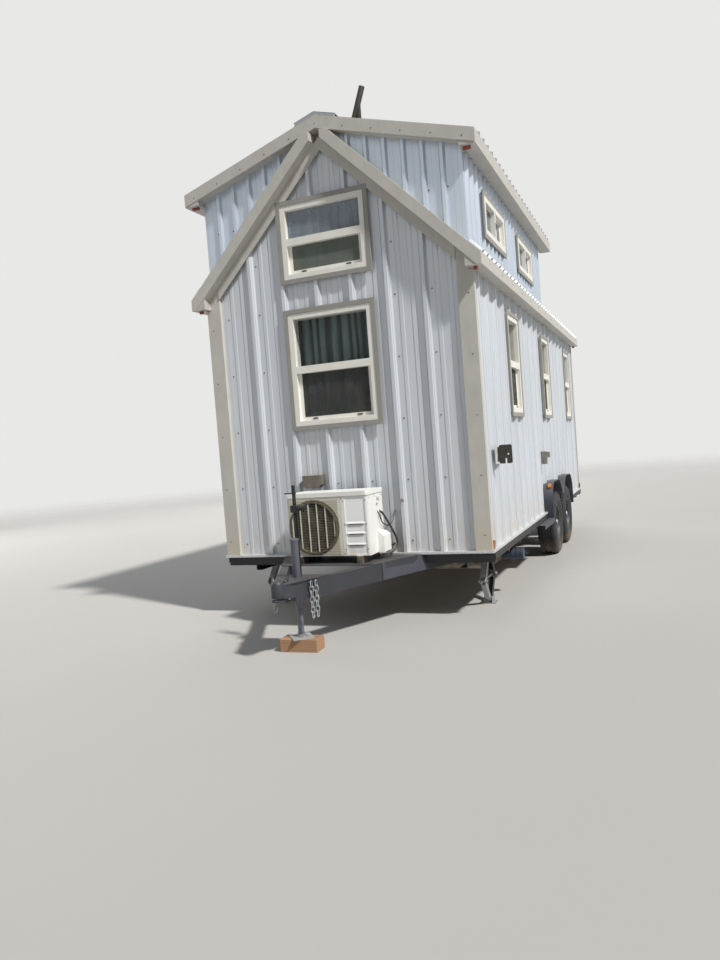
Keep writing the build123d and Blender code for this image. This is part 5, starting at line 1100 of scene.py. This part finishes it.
def make_window_fittings():
    """Latches of the sashes and sliders, and a screen before each lower sash."""
    latches, screens = [], []
    edge, sash = FRAME_FACE + SASH_FACE, FRAME_PROUD - SASH_STEP
    for side, along, sill, width, height in SASH_WINDOWS:
        up = sill + FRAME_FACE + SASH_FACE / 2
        ups, outs = (up - 0.006, up + 0.006), (sash, sash + 0.007)
        for spot in (along - 0.27 * width, along + 0.27 * width):
            latches.append(block(*wall_box(side, (spot - 0.022, spot + 0.022), ups, outs), 0.002))
        reach = width / 2 - edge
        ups = (sill + edge, sill + height / 2 - SASH_FACE / 2)
        outs = (sash - 0.0032, sash - 0.0020)
        screens.append(wall_box(side, (along - reach, along + reach), ups, outs))
    for side, along, sill, height in SLIDERS:
        up = sill + height / 2
        outs = (FRAME_PROUD, FRAME_PROUD + 0.004)
        box = wall_box(side, (along - 0.006, along + 0.006), (up - 0.03, up + 0.03), outs)
        latches.append(block(*box, 0.0012))
    piece(latches, "black_plastic", "window_latches")
    meshes = [block(low, high, 0.0002, 1) for low, high in screens]
    piece(meshes, "screen", "window_screens")


def make_door_fittings():
    """Raised panels, three hinges, a lever handle and a deadbolt on the entrance door."""
    panels = []
    for low_up, high_up in PANELS_UP:
        for near, far in PANELS_ALONG:
            low = (LEAF_X - 0.009, DOOR_MIDDLE + near, BASE_Z + low_up)
            panel = block(low, (LEAF_X + 0.002, DOOR_MIDDLE + far, BASE_Z + high_up), 0.002, 1)
            edit_faces(panel, lambda centre, normal: normal.x < -0.9)
            bpy.ops.mesh.inset(thickness=0.022, depth=-0.005)
            bpy.ops.mesh.inset(thickness=0.018, depth=0.004)
            leave()
            panels.append(panel)
    piece(panels, "door", "door_panels")
    low, high = Vector((-0.008, -0.026, -0.11)), Vector((0.001, 0.026, 0.07))
    metal = [
        block(LATCH_AT + low, LATCH_AT + high, 0.003),
        rod(LATCH_AT + Vector((-0.030, 0.012, 0)), REARWARD * -0.112, 0.008),
        rod(LATCH_AT, RIGHT * -0.034, 0.009),
        rod(LATCH_AT + UP * LOCK_ABOVE_LATCH, RIGHT * -0.014, 0.026, 24, 0.003),
    ]
    for up in HINGES_UP:
        knuckle = Vector((LEAF_X - 0.006, DOOR_MIDDLE + HINGE_ASIDE, BASE_Z + up))
        metal.append(rod(knuckle, UP * HINGE_TALL, 0.006, 12))
        low, high = Vector((-0.001, 0.002, 0)), Vector((0.007, 0.036, HINGE_TALL))
        metal.append(block(knuckle + low, knuckle + high, 0.001))
    piece(metal, "zinc", "door_handle_and_hinges")


def polar(centre, point):
    """Distance of a point from a wheel's axle, and its turn round it."""
    away = point - centre
    return math.hypot(away.y, away.z), math.atan2(away.y, away.z) + math.tau


def make_tyre(centre, out, sizes):
    """A tyre turned from its section, with raised tread blocks."""
    tread = WHEEL_R - 0.0075
    inner_groove, outer_groove = 0.016, 0.046
    outline = [(-0.074, RIM_R), (-0.084, RIM_R + 0.010), (-0.098, 0.232), (-0.1068, 0.268)]
    outline += [(-0.1055, 0.300), (-0.0990, 0.326), (-0.0905, 0.341), (-0.080, tread - 0.003)]
    other_wall = [(-along, away) for along, away in reversed(outline)]
    for groove in (-outer_groove, -inner_groove, inner_groove, outer_groove):
        outline += [(groove - 0.0060, tread), (groove - 0.0042, tread - 0.008)]
        outline += [(groove + 0.0042, tread - 0.008), (groove + 0.0060, tread)]
    steps = sizes.tread_blocks * 2
    tyre = lathe(outline + other_wall, centre, out, UP, steps)

    def on_block(middle, normal):
        away, turn = polar(centre, middle)
        aside = abs(middle.x - centre.x)
        lean = 0.5 if aside > outer_groove else 0.0
        odd = int(turn / (math.tau / steps) + lean) % 2
        return not odd and aside >= inner_groove and away > tread - 0.006 and abs(normal.x) < 0.6

    edit_faces(tyre, on_block)
    bpy.ops.mesh.extrude_region_shrink_fatten(TRANSFORM_OT_shrink_fatten={"value": 0.0055})
    leave()
    return paint(tyre, FINISHES["rubber"])


def make_rim(centre, out):
    """A steel rim with hand holes, five nuts and a grease cap."""
    edge = [(-0.084, RIM_R + 0.012), (-0.080, RIM_R - 0.004), (-0.060, RIM_R - 0.014)]
    outer = [(-along, away) for along, away in reversed(edge)]
    barrel = lathe([*edge, (0.030, RIM_R - 0.022), *outer], centre, out, UP, 60)
    dish = [(0.030, RIM_R - 0.021), (0.022, 0.160), (0.030, 0.148), (0.040, 0.122)]
    dish += [(0.036, 0.108), (0.030, 0.092), (0.044, 0.082), (0.044, 0.034), (0.044, 0.0)]
    disc = lathe(dish, centre, out, UP, 60)

    def in_hole(middle, normal):
        away, turn = polar(centre, middle)
        return 0.123 < away < 0.152 and int(turn / math.radians(6)) % 5 in (1, 2)

    edit_faces(disc, in_hole)
    bpy.ops.mesh.delete(type="FACE")
    leave()
    for shell in (barrel, disc):
        wall = shell.modifiers.new("wall", "SOLIDIFY")
        wall.thickness = 0.0045
        wall.offset = 0.0
        take(shell)
        bpy.ops.object.modifier_apply(modifier=wall.name)
    metal = []
    for nut in range(5):
        turn = math.tau * nut / 5
        foot = centre + out * 0.045 + Vector((0, math.sin(turn), math.cos(turn))) * 0.062
        metal.append(rod(foot, out * 0.020, 0.0115, 6, 0.003))
    cap = [(0.044, 0.034), (0.070, 0.032), (0.082, 0.026), (0.086, 0.014), (0.087, 0.0)]
    metal.append(lathe(cap, centre, out, UP, 28))
    rim = paint(join([barrel, disc]), FINISHES["rim"])
    return join([rim, paint(join(metal), FINISHES["zinc"])])


def make_wheels(sizes):
    """Four wheels in the places of the frame's plain ones."""
    for name, side, along in WHEELS:
        centre, out = Vector((side * WHEEL_X, FRONT_Y + along, WHEEL_R)), RIGHT * side
        parts = [make_tyre(centre, out, sizes), make_rim(centre, out)]
        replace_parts(piece(parts, None, f"{name}_tyre_and_rim", name), name)


def make_chains():
    """Welded links in the places of the frame's chains."""
    deselect()
    bpy.ops.mesh.primitive_torus_add(
        major_radius=0.013, minor_radius=0.004, major_segments=28, minor_segments=10
    )
    link = settled()
    for sign in (-1, 1):
        edit_faces(link, lambda centre, normal, sign=sign: centre.x * sign > 0.0)
        bpy.ops.transform.translate(value=(sign * 0.009, 0, 0))
        leave()
    places, pins = [], []
    for corners in solids("safety_chains"):
        middle = Vector((corners.min(axis=0) + corners.max(axis=0)) / 2)
        away = corners - corners.mean(axis=0)
        _, axes = np.linalg.eigh(away.T @ away)
        thin, wide, long = [float(np.ptp(corners @ axes[:, i])) for i in range(3)]
        axis, mid_axis = Vector(axes[:, 2]), Vector(axes[:, 1])
        if max(thin, wide, long) > 0.06 or sorted((thin, wide, long))[1] < 0.025:
            pins.append((middle - axis * long / 2, axis * long, wide / 2))
            continue
        turn = Matrix((axis, mid_axis, axis.cross(mid_axis))).transposed().to_4x4()
        places.append(Matrix.Translation(middle) @ turn)
    parts = [copies(link, places)]
    parts += [rod(start, run, radius, 20, 0.0015) for start, run, radius in pins]
    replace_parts(piece(parts, "worn_zinc", "chain_links"), "safety_chains")


def make_unit_fittings(sizes):
    """Wires over the fan, dark strips of painted shade under the louvres and screws in the outdoor
    unit's case.
    """
    proud = 0.0035
    wires = []
    count = int(FAN_RING / sizes.guard_pitch)
    for row in range(-count, count + 1):
        start = (FAN_AT.x - FAN_RING, UNIT_LOW.y - proud, FAN_AT.z + row * sizes.guard_pitch)
        wires.append(rod(start, RIGHT * 2 * FAN_RING, 0.0013, 6, 0.0003))
    piece(wires, "dark_wire", "guard_wires")
    # Dark strips as painted shade under the louvres
    slots = []
    for z in LOUVRES_Z:
        low = (0.186, UNIT_LOW.y - proud, z - 0.0085)
        slots.append(block(low, (0.304, UNIT_LOW.y + proud, z - 0.0035), 0.002))
    piece(slots, "black_plastic", "louvre_shade_strips")
    spots = [(x, up) for x in (0.155, 0.334) for up in (0.05, 0.24, 0.42)]
    spots += [(x, up) for x in (-0.318, -0.105, 0.142) for up in (0.018, 0.438)]
    starts = [(x, UNIT_LOW.y - 0.1, UNIT_LOW.z + up) for x, up in spots]
    places = landings(starts, REARWARD, "ac_case", 0.2)
    for back in (0.04, 0.17, 0.30):
        for side in (1, -1):
            start = (side * 0.6, UNIT_LOW.y + back, UNIT_LOW.z + 0.435)
            places += landings([start], RIGHT * -side, "ac_case", 0.5)
    drive(places, "unit_screws", "zinc", 0.0055, 0.002, 10, 0.6)


# Routes of the pipe and the conduit: out from the unit's right side, place along the house, height
PIPE_ROUTE = (
    (-0.004, -2.660, 0.888), (0.016, -2.650, 0.872), (0.044, -2.615, 0.800),
    (0.062, -2.568, 0.725), (0.072, -2.524, 0.664), (0.074, -2.512, 0.604),
    (0.060, -2.560, 0.562), (0.044, -2.660, 0.549), (0.008, -2.740, 0.553),
)
CONDUIT_ROUTE = (
    (-0.004, -2.705, 0.894), (0.010, -2.700, 0.866), (0.020, -2.672, 0.800),
    (0.040, -2.604, 0.764), (0.050, -2.520, 0.790), (0.052, PIPE_END_Y, 0.866),
)


def make_unit_pipes():
    """Insulated pipe and conduit from the unit's right end round its valve cover to the wall."""
    side = RIGHT * (UNIT_LOW.x + UNIT_SIZE.x)
    drain = side + Vector((0.026, UNIT_LOW.y + UNIT_SIZE.y - 0.022, UNIT_LOW.z + 0.026))
    parts = [
        hose([side + Vector(point) for point in PIPE_ROUTE], 0.0085),
        hose([side + Vector(point) for point in CONDUIT_ROUTE], 0.0045),
        rod(drain, REARWARD * (PIPE_END_Y - drain.y), 0.013, 16, 0.002),
    ]
    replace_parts(piece(parts, "black_plastic", "unit_pipes"), "ac_lines")
    knobs = [
        rod(side + Vector((-0.002, y, z)), RIGHT * 0.018, radius, 20, 0.003)
        for y, z, radius in ((-2.700, 1.000, 0.016), (-2.716, 0.958, 0.013))
    ]
    piece(knobs, "white_plastic", "unit_caps")
    cap = rod((0.483, FRONT_Y - RIB - 0.014, 0.948), REARWARD * 0.015, 0.014, 20, 0.003)
    piece([cap], "grey_plastic", "wall_cap")


def make_tongue_plates():
    """Plates welded outside the tongue's rails near the house, with scooped top edges."""
    along = Vector((math.sin(TONGUE_TURN), math.cos(TONGUE_TURN), 0))
    out = Vector((math.cos(TONGUE_TURN), -math.sin(TONGUE_TURN), 0))
    low, high = TONGUE_TOP - 0.125, TONGUE_TOP + 0.003
    struck = landing(RAIL_SPOT + out * 0.5, -out, "tongue_rails")
    if struck is None:
        raise RuntimeError("no tongue rail to weld the plates to")
    start = struck[0] + along * ((PLATE_START_Y - struck[0].y) / along.y) + out * PLATE_OUT
    # Outline: along the rail, and down from the plate's top edge
    outline = [(0.0, high - low), (0.0, 0.0), (0.028, 0.0), (0.030, 0.026), (0.040, 0.042)]
    outline += [(0.058, 0.048), (0.330, 0.055), (0.362, 0.050), (0.384, 0.036), (0.394, 0.010)]
    outline += [(0.400, 0.006), (0.452, 0.006), (0.515, high - low)]
    plates = []
    for side in (1, -1):
        mirror = Vector((side, 1, 1))
        corners = [(start + along * run) * mirror for run, _ in outline]
        for corner, (_, drop) in zip(corners, outline):
            corner.z = high - drop
        plates.append(plate(corners, out * mirror * -PLATE_THICK))
    piece(plates, "plate", "tongue_plates")


def make_coupler_parts():
    """Dome over the ball, rolled lip under it, latch lever and its pin."""
    ball = Vector((0.0, TONGUE_NOSE + 0.0442, TONGUE_TOP + 0.008))
    dome = [(-0.001, 0.0435), (0.007, 0.0425), (0.018, 0.0365), (0.026, 0.026), (0.031, 0.012)]
    lip = [(0.0, 0.0436), (-0.003, 0.0440), (-0.008, 0.0440), (-0.010, 0.0415), (-0.008, 0.0390)]
    lip_at = Vector((ball.x, ball.y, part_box("coupler")[0].z + 0.004))
    hinge = ball + REARWARD * 0.036
    parts = [
        lathe([*dome, (0.032, 0.0)], ball, UP, RIGHT, 40),
        lathe([*lip, (0.0, 0.0390), lip[0]], lip_at, UP, RIGHT, 40),
        block(hinge + Vector((-0.012, 0, -0.001)), hinge + Vector((0.012, 0.110, 0.016)), 0.005, 3),
        block(hinge + Vector((-0.008, 0.08, 0.014)), hinge + Vector((0.008, 0.128, 0.024)), 0.004, 3),
    ]
    piece(parts, "tongue", "coupler_dome_and_latch")
    pin = rod(hinge + Vector((-0.020, 0.060, 0.008)), RIGHT * 0.040, 0.004, 12)
    piece([pin], "zinc", "latch_pin")


def make_stabiliser_bolts():
    """Bolt heads on the stabilisers' pivots."""
    heads = []
    for side in (-1, 1):
        for shift in (-0.029, 0.029):
            for face in (-1, 1):
                start = STABILISER * Vector((side, 1, 1)) + Vector((face * 0.3, shift, 0))
                heads += landings([start], RIGHT * -face, "stabiliser_heads", 0.5)
    drive(heads, "stabiliser_bolts", "zinc", 0.011, 0.006, 6, 0.72)


def make_plug():
    """Ribbed grip of the trailer plug that hangs on its post."""
    ring = [(0.0, 0.0202), (0.001, 0.0222), (0.006, 0.0222), (0.007, 0.0202)]
    rings = [lathe(ring, PLUG_AT + RIGHT * 0.014 * number, RIGHT, UP, 24) for number in range(4)]
    piece(rings, "black_plastic", "plug_grip")


# Stage


def put(name, data, place, turn):
    """Puts a camera or a lamp in the scene."""
    holder = bpy.data.objects.new(name, data)
    holder.matrix_world = Matrix.Translation(place) @ turn.to_4x4()
    bpy.context.collection.objects.link(holder)
    return holder


def make_camera(lens):
    """Camera where the photographer stood."""
    data = bpy.data.cameras.new("camera")
    data.sensor_width = 36.0
    data.lens = lens
    right = Vector((0.92272, 0.37787, -0.07615))
    down = Vector((-0.05408, -0.06869, -0.99617))
    ahead = Vector((-0.38166, 0.92331, -0.04295))
    turn = Matrix((right, -down, -ahead)).transposed()
    bpy.context.scene.camera = put("camera", data, Vector((2.4575, -8.1069, 1.3883)), turn)


def make_floor(colour):
    """Pale floor that fades out far from the house."""
    deselect()
    bpy.ops.mesh.primitive_plane_add(size=90.0, location=(0, 0, 0))
    floor = settled()
    floor.name = "floor"
    f = Finish("stage_floor", colour, 0.985)
    cloud = f.noise(0.35, 3.0)
    f.lay(cloud.ramp(0.3, 0.7), 1.01)
    fade = f.x.away(f.y).below(9.0, 30.0)
    paint(floor, f.paint(0.8 + cloud * 0.05, None, {"Alpha": fade}))


def make_lights():
    """A low sun from the right, and three soft fills."""
    key = bpy.data.lights.new("key", "SUN")
    key.energy = 3.9
    key.angle = math.radians(4)
    key.color = (1.0, 0.975, 0.94)
    sun = Vector((0.62, -0.25, 0.74))
    put("key", key, Vector((0, 0, 0)), sun.to_track_quat("Z", "Y").to_matrix())
    aim = Vector((0.0, 0.4, 1.8))
    fills = (
        ("front_fill", (-3.0, -13.0, 5.0), 8.0, 20.0),
        ("back_fill", (-6.0, 13.0, 7.0), 9.0, 420.0),
        ("left_fill", (-13.0, 1.0, 5.0), 9.0, 360.0),
    )
    for name, place, size, power in fills:
        lamp = bpy.data.lights.new(name, "AREA")
        lamp.shape = "DISK"
        lamp.size = size
        lamp.energy = power
        place = Vector(place)
        put(name, lamp, place, (place - aim).to_track_quat("Z", "Y").to_matrix())


def make_background():
    """Pale background, which lights the scene as a dim blue sky."""
    world = bpy.data.worlds.new("studio")
    bpy.context.scene.world = world
    w = Tree(world)
    camera, glossy, clear = [
        w.node("ShaderNodeLightPath", (), f"Is {kind} Ray")
        for kind in ("Camera", "Glossy", "Transmission")
    ]
    seen = camera.math("MAXIMUM", glossy.math("MAXIMUM", clear))
    light = w.node("ShaderNodeBackground", ((0.84, 0.92, 1.0, 1.0), 0.19))
    backdrop = w.node("ShaderNodeBackground", ((*rgb(232, 232, 231), 1.0), 1.0))
    either = w.node("ShaderNodeMixShader", (seen, light, backdrop))
    w.node("ShaderNodeOutputWorld", (either,))
    bpy.context.scene.view_settings.view_transform = "Standard"


# Operators


class HouseOperator:
    """Makes its pieces from the sizes and colours of the scene."""

    bl_options = {"REGISTER", "UNDO"}

    def execute(self, context):
        self.make(context.scene.house_sizes, context.scene.house_colours)
        return {"FINISHED"}


class HOUSE_OT_stage(HouseOperator, bpy.types.Operator):
    """Set the camera, floor, lights and background"""

    bl_idname = "house.stage"
    bl_label = "Stage"

    def make(self, sizes, colours):
        make_camera(sizes.lens)
        make_floor(colours.floor)
        make_lights()
        make_background()


class HOUSE_OT_finishes(HouseOperator, bpy.types.Operator):
    """Give the frame its finishes and softened edges"""

    bl_idname = "house.finishes"
    bl_label = "Finishes"

    def make(self, sizes, colours):
        FINISHES.update(finishes(colours))
        dress_frame()


class HOUSE_OT_curtains(HouseOperator, bpy.types.Operator):
    """Hang the nine curtains on their rails"""

    bl_idname = "house.curtains"
    bl_label = "Curtains"

    def make(self, sizes, colours):
        make_curtains(sizes)


class HOUSE_OT_screws(HouseOperator, bpy.types.Operator):
    """Drive the screws and nails of the walls, roofs and trims, and close the ridge caps"""

    bl_idname = "house.screws"
    bl_label = "Screws And Nails"

    def make(self, sizes, colours):
        make_siding_screws(sizes)
        make_dormer_screws(sizes)
        make_roof_screws(sizes)
        make_trim_nails(sizes)
        make_ridge_closures()


class HOUSE_OT_windows(HouseOperator, bpy.types.Operator):
    """Fit the windows' latches and screens"""

    bl_idname = "house.windows"
    bl_label = "Window Fittings"

    def make(self, sizes, colours):
        make_window_fittings()


class HOUSE_OT_door(HouseOperator, bpy.types.Operator):
    """Fit the door's panels, handle, lock and hinges"""

    bl_idname = "house.door"
    bl_label = "Door Fittings"

    def make(self, sizes, colours):
        make_door_fittings()


class HOUSE_OT_wheels(HouseOperator, bpy.types.Operator):
    """Mount four tyres on their rims"""

    bl_idname = "house.wheels"
    bl_label = "Wheels"

    def make(self, sizes, colours):
        make_wheels(sizes)


class HOUSE_OT_chains(HouseOperator, bpy.types.Operator):
    """Hang the safety chains"""

    bl_idname = "house.chains"
    bl_label = "Safety Chains"

    def make(self, sizes, colours):
        make_chains()


class HOUSE_OT_outdoor_unit(HouseOperator, bpy.types.Operator):
    """Fit the wires, the painted shade strips under the louvres, screws, pipes and caps of the outdoor
    unit
    """

    bl_idname = "house.outdoor_unit"
    bl_label = "Outdoor Unit"

    def make(self, sizes, colours):
        make_unit_fittings(sizes)
        make_unit_pipes()


class HOUSE_OT_trailer(HouseOperator, bpy.types.Operator):
    """Fit the stabilisers' bolts, the tongue's plates, the coupler's parts and the plug's grip"""

    bl_idname = "house.trailer"
    bl_label = "Trailer Fittings"

    def make(self, sizes, colours):
        make_stabiliser_bolts()
        make_tongue_plates()
        make_coupler_parts()
        make_plug()


OPERATORS = (
    HOUSE_OT_finishes,
    HOUSE_OT_screws,
    HOUSE_OT_curtains,
    HOUSE_OT_windows,
    HOUSE_OT_door,
    HOUSE_OT_wheels,
    HOUSE_OT_chains,
    HOUSE_OT_outdoor_unit,
    HOUSE_OT_trailer,
    HOUSE_OT_stage,
)


class HOUSE_PT_panel(bpy.types.Panel):
    """Lists the tiny house's colours, sizes and pieces"""

    bl_idname = "HOUSE_PT_panel"
    bl_label = "Tiny House"
    bl_space_type = "VIEW_3D"
    bl_region_type = "UI"
    bl_category = "Tiny House"

    def draw(self, context):
        for group in (context.scene.house_sizes, context.scene.house_colours):
            column = self.layout.column()
            for key in group.__annotations__:
                column.prop(group, key)
        for operator in OPERATORS:
            self.layout.operator(operator.bl_idname)


CLASSES = (HouseColours, HouseSizes, *OPERATORS, HOUSE_PT_panel)


def register():
    for cls in CLASSES:
        bpy.utils.register_class(cls)
    bpy.types.Scene.house_colours = PointerProperty(type=HouseColours)
    bpy.types.Scene.house_sizes = PointerProperty(type=HouseSizes)


def unregister():
    del bpy.types.Scene.house_sizes
    del bpy.types.Scene.house_colours
    for cls in reversed(CLASSES):
        bpy.utils.unregister_class(cls)


def main():
    register()
    for operator in OPERATORS:
        group, name = operator.bl_idname.split(".")
        getattr(getattr(bpy.ops, group), name)()


if __name__ == "__main__":
    main()
